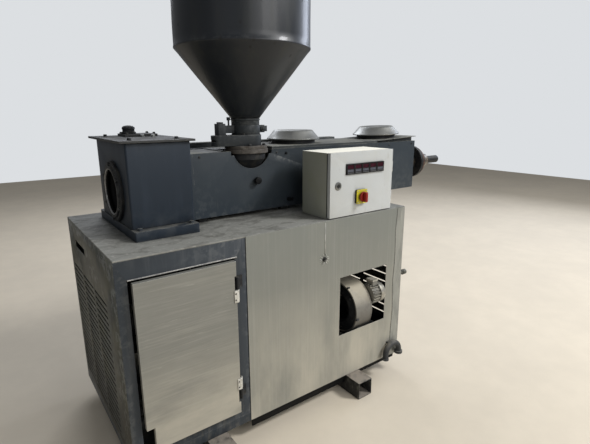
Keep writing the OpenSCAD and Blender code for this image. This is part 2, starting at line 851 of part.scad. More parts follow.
// Fixed hinge halves and pins on the right side of the enclosure.
module box_hinges() {
    color("#b9bdbd") origin() {
        for (z = [table_z + 60, table_z + box_h - 90]) {
            translate([box_hx, box_hy, z - 21]) cylinder(r = 5.5, h = 20);
            block([box_x2 + 4, box_hy, z - 21], [8, box_by - box_hy + 8, 20]);
            block([box_x2, box_by + 4, z - 21], [12, 30, 20]);
            translate([box_hx, box_hy, z - 4]) cylinder(r = pin_r, h = 40);
        }
    }
}

module controllers() {
    color("#1d1618") origin() {
        block([ctrl_x + 0.5, -5, ctrl_z + 0.5], [ctrl_n * ctrl_s + 3, 11, ctrl_s - 1]);
        for (i = [0 : ctrl_n - 1]) {
            x = ctrl_x + 2 + i * ctrl_s;
            block([x + 2, -7, ctrl_z + 3], [ctrl_s - 4, 2, ctrl_s - 6]);
            block([x + 5, 6, ctrl_z + 4], [ctrl_s - 10, 10, ctrl_s - 8]);
        }
    }
}

module box_lock() {
    color("#9a9c9a") origin() {
        rod_y([box_x + 47, 0, table_z + box_h * 0.5], 19, 5);
        rod_y([box_x + 47, -5, table_z + box_h * 0.5], 8, 3);
        rod_y([box_x + 47, 16, table_z + box_h * 0.5], 8, 14);
    }
}

module switch_plate() {
    color("#c8c23a") origin() {
        difference() {
            block([knob_x - 33, -plate_t, knob_z - 33], [66, plate_t, 66]);
            rod_y([knob_x, 1, knob_z], 5 + pin_play, plate_t + 2);
        }
    }
}

// Red rotary handle with a grip bar, on a spindle through the door.
module switch_knob() {
    color("#a01f16") origin() {
        rod_y([knob_x, 14, knob_z], 5, 14 - knob_y);
        rod_y([knob_x, knob_y, knob_z], 24, 10);
        block([knob_x - 8, knob_y - 28, knob_z - 24], [16, 18, 48]);
    }
}

module back_plate() {
    color("#a9aba6") origin() {
        block([open_x + 10, 240, cab_z + 60], [open_x2 - open_x - 24, 3, cab_h - 150]);
        for (i = [0 : rail_n - 1])
            block([open_x + 30, 233, rail_z + i * rail_pitch], [open_x2 - open_x - 64, 7, 35]);
        for (x = [open_x + 10, open_x2 - 44]) {
            block([x, 240, cab_z + sheet_t], [30, 40, 57]);
            block([x, 243, cab_z + 60], [30, 37, 3]);
        }
    }
}

module switchgear() {
    color("#3a3b3c") origin() {
        for (k = [0 : rail_n - 1], i = [0 : 5])
            block([open_x + 44 + i * 54, 233 - 60 - (i % 2) * 12, rail_z - 18 + k * rail_pitch],
                [46, 60 + (i % 2) * 12, 72]);
    }
}

foot_left();
foot_right();
floor_pan();
front_frame();
mid_post();
louvre_end();
vent_end();
rear_panel();
table_plate();
front_sheet();
sheet_lock();
front_door();
door_knuckles();
frame_knuckles();
hose_elbow();
blower_shelf();
blower_scroll();
blower_motor();
gear_foot();
gear_case();
gear_lid();
gear_ring();
gear_breather();
barrel_cover();
cover_lid();
end_lid();
cover_feet();
cover_knobs();
rear_duct();
vent_hat_left();
vent_hat_right();
barrel();
heater_bands();
die_flange();
die_head();
feed_block();
feed_flange();
gate_block();
throat_neck();
gate_arm();
hopper();
hopper_wall();
hopper_lid();
box_body();
box_door();
box_hinges();
controllers();
box_lock();
switch_plate();
switch_knob();
back_plate();
switchgear();
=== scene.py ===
"""Looks of a single-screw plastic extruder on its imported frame.

Sizes are in millimetres from the floor under the cabinet's front left edge, as the part's source lays
them out: X runs along the screw toward the die, Y runs to the rear and Z is up.
"""

import logging
import math
from dataclasses import dataclass, field
from enum import Enum
from itertools import chain, product
from typing import Any, Callable, Sequence

import bmesh
import bpy
from mathutils import Matrix, Vector, noise

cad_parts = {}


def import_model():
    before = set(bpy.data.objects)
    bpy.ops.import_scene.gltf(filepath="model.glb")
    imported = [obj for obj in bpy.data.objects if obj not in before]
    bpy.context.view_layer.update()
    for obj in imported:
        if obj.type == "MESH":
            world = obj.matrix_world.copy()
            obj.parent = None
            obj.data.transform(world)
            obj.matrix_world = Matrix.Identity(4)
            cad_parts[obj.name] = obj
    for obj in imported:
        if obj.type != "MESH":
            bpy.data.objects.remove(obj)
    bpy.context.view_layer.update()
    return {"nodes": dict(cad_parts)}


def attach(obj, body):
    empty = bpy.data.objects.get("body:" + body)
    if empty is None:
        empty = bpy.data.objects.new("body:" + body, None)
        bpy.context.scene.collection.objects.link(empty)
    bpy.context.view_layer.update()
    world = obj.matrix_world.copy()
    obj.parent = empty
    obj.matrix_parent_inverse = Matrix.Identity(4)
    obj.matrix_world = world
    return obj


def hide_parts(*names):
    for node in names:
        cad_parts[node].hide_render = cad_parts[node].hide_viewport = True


LOG = logging.getLogger("extruder")
Point = tuple[float, float, float]
Pair = tuple[float, float]

# The frame's origin, on the floor under the machine's middle, from the cabinet's front left edge.
CORNER = Vector((1115.0, 395.0, 0.0))

# Screw heads: pairs of a radius and a height over the seat.
PAN_HEAD = ((5.5, -0.2), (5.5, 1.2), (4, 2.8), (0, 3.2))
DOOR_SCREW = ((3.2, 0.2), (3.2, -0.5), (2.2, -1.4), (0, -1.6))
COVER_SCREW = ((5, 0.2), (5, -1.2), (3.6, -2.6), (0, -3))

# Where a mask that follows the shape starts and where it is full.
UP_FACING = (0.25, 0.95)
EDGE_TURN = (0.995, 0.9)
NOOK_SHADE = (0.95, 0.35)

# What every finish does over some 140 mm: a share of it is darker by a factor, and its roughness wanders.
SHADE_SHARE = 0.16
SHADE = 0.72
ROUGH_SPREAD = (-0.05, 0.08)
COAT_ROUGHNESS = 0.12

# Edges that turn by more than SHARP degrees are rounded, and faces that turn by less than FLAT are joined.
SHARP = 32
FLAT = 0.5
# Vertices of a kept node that lie closer than this, in metres, are one.
JOINED = 0.00002
# The dents of knocked sheet: their length along the axis in millimetres, and how many go round.
DENT_LENGTH = 260
DENTS = 1.9


def linear(code: str) -> tuple[float, float, float, float]:
    """Turns an sRGB hex colour into linear light.

    Args:
        code: six hex digits after a hash sign.

    Returns:
        Red, green, blue and an alpha of one.
    """
    parts = [int(code[i:i + 2], 16) / 255 for i in (1, 3, 5)]
    parts = [c / 12.92 if c <= 0.04045 else ((c + 0.055) / 1.055) ** 2.4 for c in parts]
    return parts[0], parts[1], parts[2], 1.0


def add_node(tree: bpy.types.NodeTree, kind: str, settings: dict[str | int, Any] | None = None,
             links: dict[str | int, bpy.types.NodeSocket] | None = None) -> bpy.types.Node:
    """Adds a node to a tree with its settings and links.

    Args:
        tree: the node tree of a material or the world.
        kind: Blender's name of the node type.
        settings: values of properties, or of inputs by name or index.
        links: output sockets that go into inputs by name or index.

    Returns:
        The new node.
    """
    node = tree.nodes.new(kind)
    for key, value in (settings or {}).items():
        if isinstance(key, str) and hasattr(node, key):
            setattr(node, key, value)
        else:
            node.inputs[key].default_value = value
    for key, socket in (links or {}).items():
        tree.links.new(socket, node.inputs[key])
    return node


class Mask(Enum):
    """Where a layer of a finish lies."""

    PATCH = "patches of a size"
    UP = "faces that look up"
    EDGE = "rubbed edges"
    # Found by ambient occlusion, which is where shade falls.
    NOOK = "corners and gaps"
    LOW = "a band over a height"
    SPECK = "single small spots"


@dataclass(frozen=True)
class Layer:
    """One thing that lies on a surface or was rubbed off it, or light or shade painted on it."""

    mask: Mask
    colour: str
    amount: float = 1.0
    size: float | Point = 60.0
    start: float = 0.45
    full: float = 0.6
    reach: Pair = (0.0, 1.0)
    rough: float | None = None
    metal: float | None = None
    bump: float = 0.0
    warp: float = 0.0
    detail: float = 4.0

    def pattern(self, tree: bpy.types.NodeTree, spot: bpy.types.NodeSocket) -> bpy.types.NodeSocket:
        """Builds the uneven pattern that breaks the layer up.

        Args:
            tree: the material's node tree.
            spot: object coordinates in metres.

        Returns:
            A value from 0 to 1.
        """
        size = self.size if isinstance(self.size, tuple) else (self.size,) * 3
        scale = tuple(1000.0 / s for s in size)
        place = add_node(tree, "ShaderNodeVectorMath", {"operation": "MULTIPLY", 1: scale}, {0: spot})
        if self.mask is Mask.SPECK:
            cells = add_node(tree, "ShaderNodeTexVoronoi", {"Scale": 1.0, "Randomness": 1.0},
                             {"Vector": place.outputs[0]})
            shape = add_node(tree, "ShaderNodeMapRange", {"From Min": self.full, "From Max": self.start},
                             {"Value": cells.outputs["Distance"]})
            return shape.outputs[0]
        spots = add_node(tree, "ShaderNodeTexNoise", {
            "Scale": 1.0, "Detail": self.detail, "Roughness": 0.6, "Distortion": self.warp,
        }, {"Vector": place.outputs[0]})
        shape = add_node(tree, "ShaderNodeMapRange", {
            "interpolation_type": "SMOOTHSTEP", "From Min": self.start, "From Max": self.full,
        }, {"Value": spots.outputs["Fac"]})
        return shape.outputs[0]

    def place(self, tree: bpy.types.NodeTree, spot: bpy.types.NodeSocket) -> bpy.types.NodeSocket | None:
        """Builds the part of the mask that follows the shape.

        Args:
            tree: the material's node tree.
            spot: object coordinates in metres.

        Returns:
            A value from 0 to 1, or nothing where the pattern alone says where the layer is.
        """
        if self.mask is Mask.UP:
            side = add_node(tree, "ShaderNodeNewGeometry")
            parts = add_node(tree, "ShaderNodeSeparateXYZ", None, {0: side.outputs["Normal"]})
            value, (low, high) = parts.outputs["Z"], UP_FACING
        elif self.mask is Mask.EDGE:
            side = add_node(tree, "ShaderNodeNewGeometry")
            soft = add_node(tree, "ShaderNodeBevel", {"samples": 4, "Radius": self.reach[1] / 1000})
            turn = add_node(tree, "ShaderNodeVectorMath", {"operation": "DOT_PRODUCT"},
                            {0: soft.outputs[0], 1: side.outputs["True Normal"]})
            value, (low, high) = turn.outputs["Value"], EDGE_TURN
        elif self.mask is Mask.NOOK:
            reach = self.reach[1] / 1000
            dark = add_node(tree, "ShaderNodeAmbientOcclusion", {"samples": 6, "Distance": reach})
            value, (low, high) = dark.outputs["AO"], NOOK_SHADE
        elif self.mask is Mask.LOW:
            parts = add_node(tree, "ShaderNodeSeparateXYZ", None, {0: spot})
            value, (low, high) = parts.outputs["Z"], (z / 1000 for z in self.reach)
        else:
            return None
        shape = add_node(tree, "ShaderNodeMapRange", {"From Min": low, "From Max": high}, {"Value": value})
        return shape.outputs[0]

    def build(self, tree: bpy.types.NodeTree, spot: bpy.types.NodeSocket) -> bpy.types.NodeSocket:
        """Builds the whole mask of the layer.

        Args:
            tree: the material's node tree.
            spot: object coordinates in metres.

        Returns:
            How much of the layer shows, from 0 to 1.
        """
        pattern, place = self.pattern(tree, spot), self.place(tree, spot)
        links = {0: pattern} if place is None else {0: pattern, 1: place}
        part = add_node(tree, "ShaderNodeMath", {"operation": "MULTIPLY", 1: 1.0}, links)
        share = add_node(tree, "ShaderNodeMath", {"operation": "MULTIPLY", 1: self.amount},
                         {0: part.outputs[0]})
        return share.outputs[0]


@dataclass(frozen=True)
class Finish:
    """A real material with what its making, use and dirt have put on it, and in some finishes painted light
    and shade.
    """

    name: str
    slot: str
    colour: str
    rough: float
    metal: float = 0.0
    layers: tuple[Layer, ...] = ()
    coat: float = 0.0
    grain_mm: float = 2.5
    grain_depth: float = 0.02
    turned: float = 0.0
    shine: float = 0.5

    def material(self) -> bpy.types.Material:
        """Builds the material's nodes.

        Returns:
            The new material.
        """
        made = bpy.data.materials.new(self.name)
        made.use_nodes = True
        tree = made.node_tree
        tree.nodes.clear()
        spot = add_node(tree, "ShaderNodeTexCoord").outputs["Object"]
        cloud = Layer(Mask.PATCH, self.colour, SHADE_SHARE, 140, 0.3, 0.7, detail=6)
        base, plain = cloud.build(tree, spot), linear(self.colour)
        shade = tuple(SHADE * c for c in plain[:3]) + (1.0,)
        mixed = add_node(tree, "ShaderNodeMix", {"data_type": "RGBA", 6: plain, 7: shade}, {0: base})
        colour = mixed.outputs[2]
        low, high = (self.rough + spread for spread in ROUGH_SPREAD)
        level = add_node(tree, "ShaderNodeMapRange", {"To Min": low, "To Max": high}, {"Value": base})
        rough, metal, height = level.outputs[0], None, None
        for layer in self.layers:
            share = layer.build(tree, spot)
            mixed = add_node(tree, "ShaderNodeMix", {"data_type": "RGBA", 7: linear(layer.colour)},
                             {0: share, 6: colour})
            colour = mixed.outputs[2]
            if layer.rough is not None:
                rough = add_node(tree, "ShaderNodeMix", {3: layer.rough}, {0: share, 2: rough}).outputs[0]
            if layer.metal is not None:
                links = {0: share} if metal is None else {0: share, 2: metal}
                metal = add_node(tree, "ShaderNodeMix", {2: self.metal, 3: layer.metal}, links).outputs[0]
            if layer.bump:
                links = {0: share} if height is None else {0: share, 2: height}
                height = add_node(tree, "ShaderNodeMath", {
                    "operation": "MULTIPLY_ADD", 1: layer.bump, 2: 0.0}, links).outputs[0]
        grain = add_node(tree, "ShaderNodeTexNoise", {"Scale": 1000 / self.grain_mm, "Detail": 3.0},
                         {"Vector": spot})
        links = {0: grain.outputs["Fac"]} if height is None else {0: grain.outputs["Fac"], 2: height}
        height = add_node(tree, "ShaderNodeMath", {
            "operation": "MULTIPLY_ADD", 1: self.grain_depth, 2: 0.0}, links).outputs[0]
        bump = add_node(tree, "ShaderNodeBump", {"Strength": 1.0, "Distance": 0.001}, {"Height": height})
        shader = add_node(tree, "ShaderNodeBsdfPrincipled", {
            "Metallic": self.metal, "Coat Weight": self.coat, "Coat Roughness": COAT_ROUGHNESS,
            "Anisotropic": self.turned, "Specular IOR Level": self.shine,
        }, {"Base Color": colour, "Roughness": rough, "Normal": bump.outputs[0]})
        if metal is not None:
            tree.links.new(metal, shader.inputs["Metallic"])
        add_node(tree, "ShaderNodeOutputMaterial", None, {"Surface": shader.outputs[0]})
        return made


# Workshop dust, loose and pale: dulls what looks up.
DUST = Layer(Mask.UP, "#7c7a72", 0.7, 70, 0.3, 0.62, rough=0.9, detail=6)
# Painted shade: a dark oily colour that ambient occlusion lays in corners and gaps.
CORNER_SHADE = Layer(Mask.NOOK, "#17181a", 0.6, 40, 0.25, 0.6, (0, 30), rough=0.7)
# Paint rubbed to a lighter edge.
RUBBED = Layer(Mask.EDGE, "#80827f", 0.55, 24, 0.48, 0.6, (0, 2.5), rough=0.5)
# Marks of trolleys and boots near the floor.
KICKED = Layer(Mask.LOW, "#6b6961", 0.5, (26, 26, 50), 0.48, 0.68, (420, 90), rough=0.85)

# Alkyd enamel sprayed on folded sheet: dark blue-grey with a soft shine and grey scuffs.
CABINET_ENAMEL = Finish("cabinet_alkyd_enamel", "cabinet_paint", "#32383e", 0.5, shine=0.33, layers=(
    Layer(Mask.PATCH, "#56595b", 0.45, (30, 30, 420), 0.46, 0.75), DUST, KICKED, RUBBED, CORNER_SHADE))
# The same enamel on the louvred ends, olive and dull, with painted shade darker towards the bottom and in
# the slots.
LOUVRE_ENAMEL_SHADED = Finish("louvre_enamel_with_painted_shade", "cabinet_paint", "#464843", 0.65, layers=(
    Layer(Mask.PATCH, "#62604f", 0.6, 120, 0.4, 0.7), DUST, KICKED, RUBBED,
    # Painted shade: darker towards the bottom, and in the slots below.
    Layer(Mask.LOW, "#26251f", 0.6, 160, 0.1, 0.5, (400, 270)),
    Layer(Mask.NOOK, "#14140f", 0.85, 60, 0.1, 0.4, (0, 14))))
# Bare steel plate under years of granule dust: flat grey with darker walked-on stains, and painted shade
# round what stands on it.
TABLE_PLATE = Finish("bare_steel_table_plate", "table_steel", "#8a8a84", 0.78, layers=(
    Layer(Mask.PATCH, "#5e5d57", 0.75, (90, 60, 90), 0.44, 0.66, warp=0.6, detail=8),
    Layer(Mask.PATCH, "#a3a29a", 0.6, 16, 0.52, 0.7),
    # Painted shade round the parts that stand on the plate.
    Layer(Mask.NOOK, "#2f2f2c", 0.8, 60, 0.2, 0.55, (0, 120))), grain_mm=5, grain_depth=0.08)
# Painted square tube: worn at the rims, pale on top.
TUBE_STEEL = Finish("painted_square_tube", "tube_steel", "#232322", 0.62, shine=0.3, layers=(
    Layer(Mask.UP, "#8d857a", 0.9, 60, 0.2, 0.5, rough=0.9), RUBBED, KICKED))
# Ground stainless sheet, grain up and down: the lines are 3 mm wide here so that they show at this distance.
BRUSHED_SHEET = Finish("ground_stainless_sheet", "brushed_sheet", "#8e8f88", 0.56, metal=0.42, layers=(
    Layer(Mask.PATCH, "#8b8c86", 0.35, (3, 3, 420), 0.4, 0.64, rough=0.6, bump=0.02),
    Layer(Mask.PATCH, "#a9a9a2", 0.3, (8, 8, 900), 0.46, 0.7, rough=0.5),
    Layer(Mask.PATCH, "#868781", 0.35, (260, 190, 520), 0.36, 0.74, rough=0.62, detail=8),
    Layer(Mask.PATCH, "#aeaea6", 0.45, (3, 3, 160), 0.67, 0.73, rough=0.46),
    # Painted shade: darker and cooler towards the top.
    Layer(Mask.LOW, "#7c817d", 0.55, 300, 0.2, 0.5, (600, 930), rough=0.6),
    # Painted light: paler and duller towards the bottom.
    Layer(Mask.LOW, "#c8c2b2", 0.75, (120, 120, 400), 0.12, 0.78, (660, 200), rough=0.68, metal=0.2,
          detail=6),
    Layer(Mask.EDGE, "#c6c6be", 0.5, 12, 0.3, 0.6, (0, 2.0))), turned=0.3, grain_depth=0.0)
# The strip folded back over the sheet's edge: the same steel, hammered flat, so its shine is broken up.
FOLD_SHEET = Finish("hammered_fold_steel", "brushed_sheet", "#9a9b95", 0.52, metal=0.45, layers=(
    Layer(Mask.PATCH, "#7b7d78", 0.5, (40, 40, 120), 0.46, 0.64, rough=0.6, bump=0.4),
    Layer(Mask.PATCH, "#b2b2aa", 0.5, (16, 16, 160), 0.54, 0.7, rough=0.44, bump=0.3),
    # Painted shade: darker along the strip's edges.
    Layer(Mask.EDGE, "#4f504d", 0.8, 12, 0.3, 0.6, (0, 3.0))), grain_depth=0.0)
# Ground steel door skin, grain across and a little wavy, with duller blotches, and painted light that makes
# it paler and duller towards the bottom.
BRUSHED_DOOR = Finish("ground_steel_door", "brushed_door", "#8b8b85", 0.56, metal=0.38, layers=(
    Layer(Mask.PATCH, "#7b7b74", 0.32, (150, 5, 5), 0.42, 0.64, rough=0.6, bump=0.03, warp=0.5),
    Layer(Mask.PATCH, "#a5a49b", 0.35, (260, 9, 9), 0.48, 0.7, rough=0.5, warp=0.5),
    Layer(Mask.PATCH, "#87877f", 0.4, (240, 170, 170), 0.4, 0.7, rough=0.64, detail=7),
    Layer(Mask.PATCH, "#b5b4ab", 0.5, (90, 4, 4), 0.66, 0.73, rough=0.46, warp=0.4),
    # Painted light: paler and duller towards the bottom.
    Layer(Mask.LOW, "#c6c0b0", 0.75, (300, 120, 120), 0.12, 0.78, (560, 260), rough=0.7, metal=0.2,
          detail=6),
    Layer(Mask.EDGE, "#cdcdc5", 0.6, 12, 0.3, 0.6, (0, 2.0))), turned=0.25, grain_depth=0.0)
# Scratches and rub marks on the sheet, where the grain was broken and shines white.
SCRATCHED = Finish("scratched_stainless", "brushed_sheet", "#d2d2ca", 0.6, metal=0.1, layers=(
    Layer(Mask.PATCH, "#8b8c86", 0.7, (5, 5, 30), 0.5, 0.62),), grain_depth=0.0)
# Steel rubbed bare and bright where things knock against it.
BARE_LIP = Finish("rubbed_bare_steel", "light_hinge", "#aeadaa", 0.42, metal=0.6, layers=(
    Layer(Mask.PATCH, "#6f7173", 0.6, (40, 6, 40), 0.5, 0.64, rough=0.6),), grain_depth=0.0)
# Weld beads under the cabinet, painted over: rough and dark.
WELD_BEAD = Finish("painted_weld_bead", "tube_steel", "#3c3d3e", 0.6, layers=(
    Layer(Mask.PATCH, "#6a5a4c", 0.5, 9, 0.46, 0.62, rough=0.85),), grain_mm=4, grain_depth=0.4)
# Black-oxide steel with oil on it: nearly black, brown dust where it looks up.
OILY_STEEL = Finish("oily_black_oxide_steel", "dark_steel", "#1b1d20", 0.55, metal=0.2, shine=0.35, layers=(
    Layer(Mask.PATCH, "#302f2b", 0.6, 30, 0.45, 0.65, rough=0.7),
    Layer(Mask.UP, "#57554d", 0.6, 40, 0.35, 0.65, rough=0.9), RUBBED))
# Near-black oily steel that paints shade: the dark inside the bores and under the cabinet's front edge.
SHADE_BLACK_STEEL = Finish("oily_black_painted_shade", "dark_steel", "#0a0b0c", 0.6, shine=0.15, layers=(
    Layer(Mask.PATCH, "#121110", 0.6, 24, 0.45, 0.65),), grain_mm=3, grain_depth=0.1)
# Scaly hot-rolled plate with oil and granule dust: brown-grey and rough.
LID_STEEL = Finish("hot_rolled_lid_plate", "dark_steel", "#2b2c2c", 0.65, metal=0.1, layers=(
    Layer(Mask.UP, "#403d36", 0.85, 60, 0.36, 0.62, rough=0.9, bump=0.1, detail=8),
    Layer(Mask.SPECK, "#7d786a", 0.5, 26, 0.05, 0.16, rough=0.9),
    Layer(Mask.EDGE, "#8b877c", 0.5, 14, 0.42, 0.58, (0, 2.5))))
# Machine enamel brushed on a cast case: blue-grey, smooth, with soft brush runs.
GEAR_ENAMEL = Finish("cast_iron_machine_enamel", "gear_paint", "#212a34", 0.52, shine=0.26, layers=(
    Layer(Mask.PATCH, "#2b343f", 0.5, (40, 40, 260), 0.45, 0.7), DUST,
    Layer(Mask.LOW, "#43474a", 0.5, 50, 0.4, 0.7, (1040, 960), rough=0.7), RUBBED, CORNER_SHADE),
    grain_mm=6, grain_depth=0.06)
# Gloss enamel on folded sheet: dark, with long soft reflections and dust on the top.
COVER_ENAMEL = Finish("cover_gloss_enamel", "cover_paint", "#2e353b", 0.5, shine=0.22, layers=(
    Layer(Mask.PATCH, "#3b4043", 0.45, 200, 0.42, 0.7, rough=0.54),
    Layer(Mask.PATCH, "#4f5250", 0.3, (9, 9, 120), 0.62, 0.76, rough=0.62),
    Layer(Mask.UP, "#6f6e66", 0.8, 110, 0.3, 0.6, rough=0.85, detail=6), RUBBED, CORNER_SHADE),
    grain_mm=5, grain_depth=0.03)
# The cover's lids: the same enamel gone chalky and olive under granule dust.
LID_ENAMEL = Finish("cover_lid_enamel", "cover_paint", "#323638", 0.55, shine=0.35, layers=(
    Layer(Mask.PATCH, "#4b4e49", 0.5, 160, 0.42, 0.68, rough=0.62),
    Layer(Mask.UP, "#74736a", 0.85, 110, 0.28, 0.58, rough=0.85, detail=6),
    Layer(Mask.EDGE, "#a09f97", 0.75, 30, 0.36, 0.56, (0, 2.5), rough=0.6)),
    grain_mm=5, grain_depth=0.05)
# Satin enamel inside and out of the rolled hopper: dark grey, chalky runs, knocks that show dark primer.
HOPPER_ENAMEL = Finish("hopper_satin_enamel", "hopper_paint", "#1c2025", 0.42, layers=(
    Layer(Mask.PATCH, "#2d2f2b", 0.4, (60, 60, 420), 0.46, 0.7, rough=0.55),
    Layer(Mask.SPECK, "#101011", 0.8, (64, 64, 90), 0.06, 0.14, rough=0.6),
    Layer(Mask.UP, "#504f4a", 0.6, 180, 0.25, 0.62, rough=0.85, detail=7),
    Layer(Mask.EDGE, "#5c5e5e", 0.4, 24, 0.46, 0.62, (0, 2.0))),
    coat=0.14, shine=0.35, grain_mm=4, grain_depth=0.04)
# Chalky enamel on the cast throat parts: greyer than the hopper, dusty on top, with painted shade in the
# corners.
THROAT_ENAMEL = Finish("throat_cast_enamel", "hopper_paint", "#202528", 0.5, shine=0.35, layers=(
    Layer(Mask.PATCH, "#3e4141", 0.5, 22, 0.46, 0.68), DUST, RUBBED, CORNER_SHADE),
    grain_mm=3, grain_depth=0.08)
# Turned steel under a thin dry rust: tan with brown rims.
RUST_FLANGE = Finish("rusted_steel_flange", "rusty_flange", "#4b4742", 0.72, metal=0.1, layers=(
    Layer(Mask.PATCH, "#3c352e", 0.8, 26, 0.47, 0.62, rough=0.9, bump=0.05, detail=7),
    Layer(Mask.PATCH, "#7f7a73", 0.5, 40, 0.52, 0.7),
    Layer(Mask.NOOK, "#2b241e", 0.7, 30, 0.2, 0.5, (0, 20))), grain_mm=3, grain_depth=0.05)
# Steel that runs hot and was never painted: red-brown oxide with black scale.
HOT_OXIDE = Finish("oxidised_die_steel", "die_brown", "#4b3a33", 0.6, metal=0.35, layers=(
    Layer(Mask.PATCH, "#6d5040", 0.7, 24, 0.46, 0.64, rough=0.8),
    Layer(Mask.EDGE, "#a59c90", 0.7, 16, 0.35, 0.55, (0, 3)), CORNER_SHADE))
# Heat-tinted alloy steel: straw and grey bands along the barrel.
BARREL_STEEL = Finish("heat_tinted_alloy_steel", "barrel_steel", "#4d4a45", 0.55, metal=0.6, layers=(
    Layer(Mask.PATCH, "#5f4f39", 0.5, (120, 40, 40), 0.46, 0.64),
    Layer(Mask.PATCH, "#33383f", 0.5, (200, 50, 50), 0.5, 0.7), CORNER_SHADE))
# Dull stainless band heaters with brown heat marks.
BAND_STEEL = Finish("stainless_band_heater", "band_steel", "#85817a", 0.42, metal=0.8, layers=(
    Layer(Mask.PATCH, "#6a543e", 0.6, (50, 30, 30), 0.46, 0.66), RUBBED))
# Spun stainless caps: soft circular shine, dull film of dust on the top, painted shade in the hollow under
# the rim.
HAT_STAINLESS = Finish("spun_stainless_cap", "hat_stainless", "#949592", 0.4, metal=0.8, layers=(
    Layer(Mask.PATCH, "#7c7c77", 0.6, 90, 0.4, 0.66, rough=0.5, metal=0.6),
    Layer(Mask.UP, "#85847d", 0.6, 60, 0.35, 0.65, rough=0.7, metal=0.3),
    # Painted shade under the rim.
    Layer(Mask.NOOK, "#2b2c2b", 0.8, 60, 0.2, 0.5, (0, 40))), grain_mm=4, grain_depth=0.02)
# Dull cast aluminium housing: matt and blotchy, with painted light paler on what looks up and painted shade
# darker towards the bottom.
BLOWER_CAST = Finish("sand_cast_aluminium", "blower_metal", "#8b8880", 0.62, metal=0.3, layers=(
    Layer(Mask.PATCH, "#6f6a60", 0.6, 50, 0.45, 0.66, rough=0.75, metal=0.1),
    # Painted shade: darker towards the bottom.
    Layer(Mask.LOW, "#4d4b47", 0.8, 160, 0.1, 0.4, (520, 300), rough=0.7),
    # Painted light: paler on what looks up.
    Layer(Mask.UP, "#c4bba6", 0.85, 60, 0.15, 0.45, rough=0.85, metal=0.1), RUBBED),
    grain_mm=2, grain_depth=0.08)
# Black powder coat on the inlet side, dusty.
INLET_BLACK = Finish("inlet_black_powder_coat", "black_plastic", "#1f2022", 0.6, layers=(
    Layer(Mask.PATCH, "#2e2e2d", 0.6, 40, 0.45, 0.7, rough=0.75), RUBBED))
# Motor enamel, warm grey, dusty on top, with painted shade between the fins.
MOTOR_ENAMEL = Finish("motor_alkyd_enamel", "motor_grey", "#78766e", 0.5, layers=(
    Layer(Mask.UP, "#aaa28e", 0.7, 30, 0.3, 0.6, rough=0.9),
    # Painted shade between the fins.
    Layer(Mask.NOOK, "#2c2a26", 0.85, 30, 0.2, 0.5, (0, 10)), RUBBED))
# Pressed and plated fan cowl: lighter and shinier than the motor body.
COWL_STEEL = Finish("zinc_plated_cowl", "motor_grey", "#b5b3aa", 0.38, metal=0.7, layers=(
    Layer(Mask.PATCH, "#8d897c", 0.6, 26, 0.46, 0.64, rough=0.6), RUBBED))
# Pressed terminal box lid, pale and a little dusty.
TERMINAL_LID = Finish("terminal_box_enamel", "motor_grey", "#a7a396", 0.45, layers=(
    Layer(Mask.PATCH, "#87837a", 0.5, 14, 0.46, 0.64, rough=0.6), RUBBED))
# Foam rubber seal between the enclosure and its door, made wide so that its black also paints the shade in
# the gap.
SEAL_RUBBER = Finish("foam_rubber_seal", "black_plastic", "#0e0f0f", 0.9, layers=(
    Layer(Mask.PATCH, "#1c1c1b", 0.5, 9, 0.46, 0.62),), grain_mm=1.5, grain_depth=0.1)
# Grey rubber keys of the controllers.
GREY_KEYS = Finish("grey_rubber_keys", "black_plastic", "#55575a", 0.6, layers=(
    Layer(Mask.PATCH, "#3c3d40", 0.5, 5, 0.46, 0.62),), grain_mm=1.0)
# The enclosure's shell behind its door: its base made darker and olive as painted shade on its sides, with
# fine darker streaks, painted light pale on its top and painted shade in its corners.
BOX_SHELL_LIT_AND_SHADED = Finish("enclosure_coat_lit_and_shaded", "enclosure_paint", "#9a9b8f", 0.5, layers=(
    Layer(Mask.PATCH, "#92937f", 0.6, 110, 0.42, 0.68, rough=0.55, detail=7),
    Layer(Mask.PATCH, "#8f8f82", 0.35, (18, 18, 70), 0.58, 0.72),
    # Painted light: pale on top.
    Layer(Mask.UP, "#f4f0e0", 0.95, 90, 0.1, 0.4, rough=0.7),
    # Painted shade in the corners.
    Layer(Mask.NOOK, "#6b6b62", 0.5, 30, 0.2, 0.5, (0, 12)),
    Layer(Mask.EDGE, "#8d8d84", 0.5, 10, 0.55, 0.62, (0, 2.0))), grain_mm=2.2, grain_depth=0.03)
# Powder coat on the enclosure: pale grey, a fine orange peel, grey hand marks, and painted shade in its
# corners.
POWDER_COAT = Finish("enclosure_powder_coat", "enclosure_paint", "#b9bcbb", 0.42, layers=(
    Layer(Mask.PATCH, "#b4b5b0", 0.5, 120, 0.46, 0.7, rough=0.5),
    Layer(Mask.PATCH, "#9f9e96", 0.4, (16, 16, 60), 0.6, 0.74),
    Layer(Mask.UP, "#d3cfc2", 0.7, 90, 0.3, 0.6, rough=0.7),
    # Painted shade in the corners.
    Layer(Mask.NOOK, "#8a8983", 0.5, 30, 0.2, 0.5, (0, 12)),
    Layer(Mask.EDGE, "#8d8d88", 0.5, 10, 0.55, 0.62, (0, 2.0))), grain_mm=2.2, grain_depth=0.03)
# Moulded black ABS: satin, grey dust in its corners.
BLACK_ABS = Finish("moulded_black_abs", "black_plastic", "#18181a", 0.5, shine=0.2, layers=(
    Layer(Mask.PATCH, "#2f2f30", 0.5, 14, 0.5, 0.7, rough=0.55),
    Layer(Mask.EDGE, "#5b5b59", 0.4, 6, 0.45, 0.6, (0, 1.0))), grain_mm=1, grain_depth=0.03)
# Smoked acrylic over unlit red digits: dark wine with a clear shine.
RED_WINDOW = Finish("smoked_red_acrylic", "black_plastic", "#30101a", 0.32, shine=0.15, layers=(
    Layer(Mask.PATCH, "#45182a", 0.5, (20, 8, 12), 0.42, 0.66),), grain_depth=0.0)
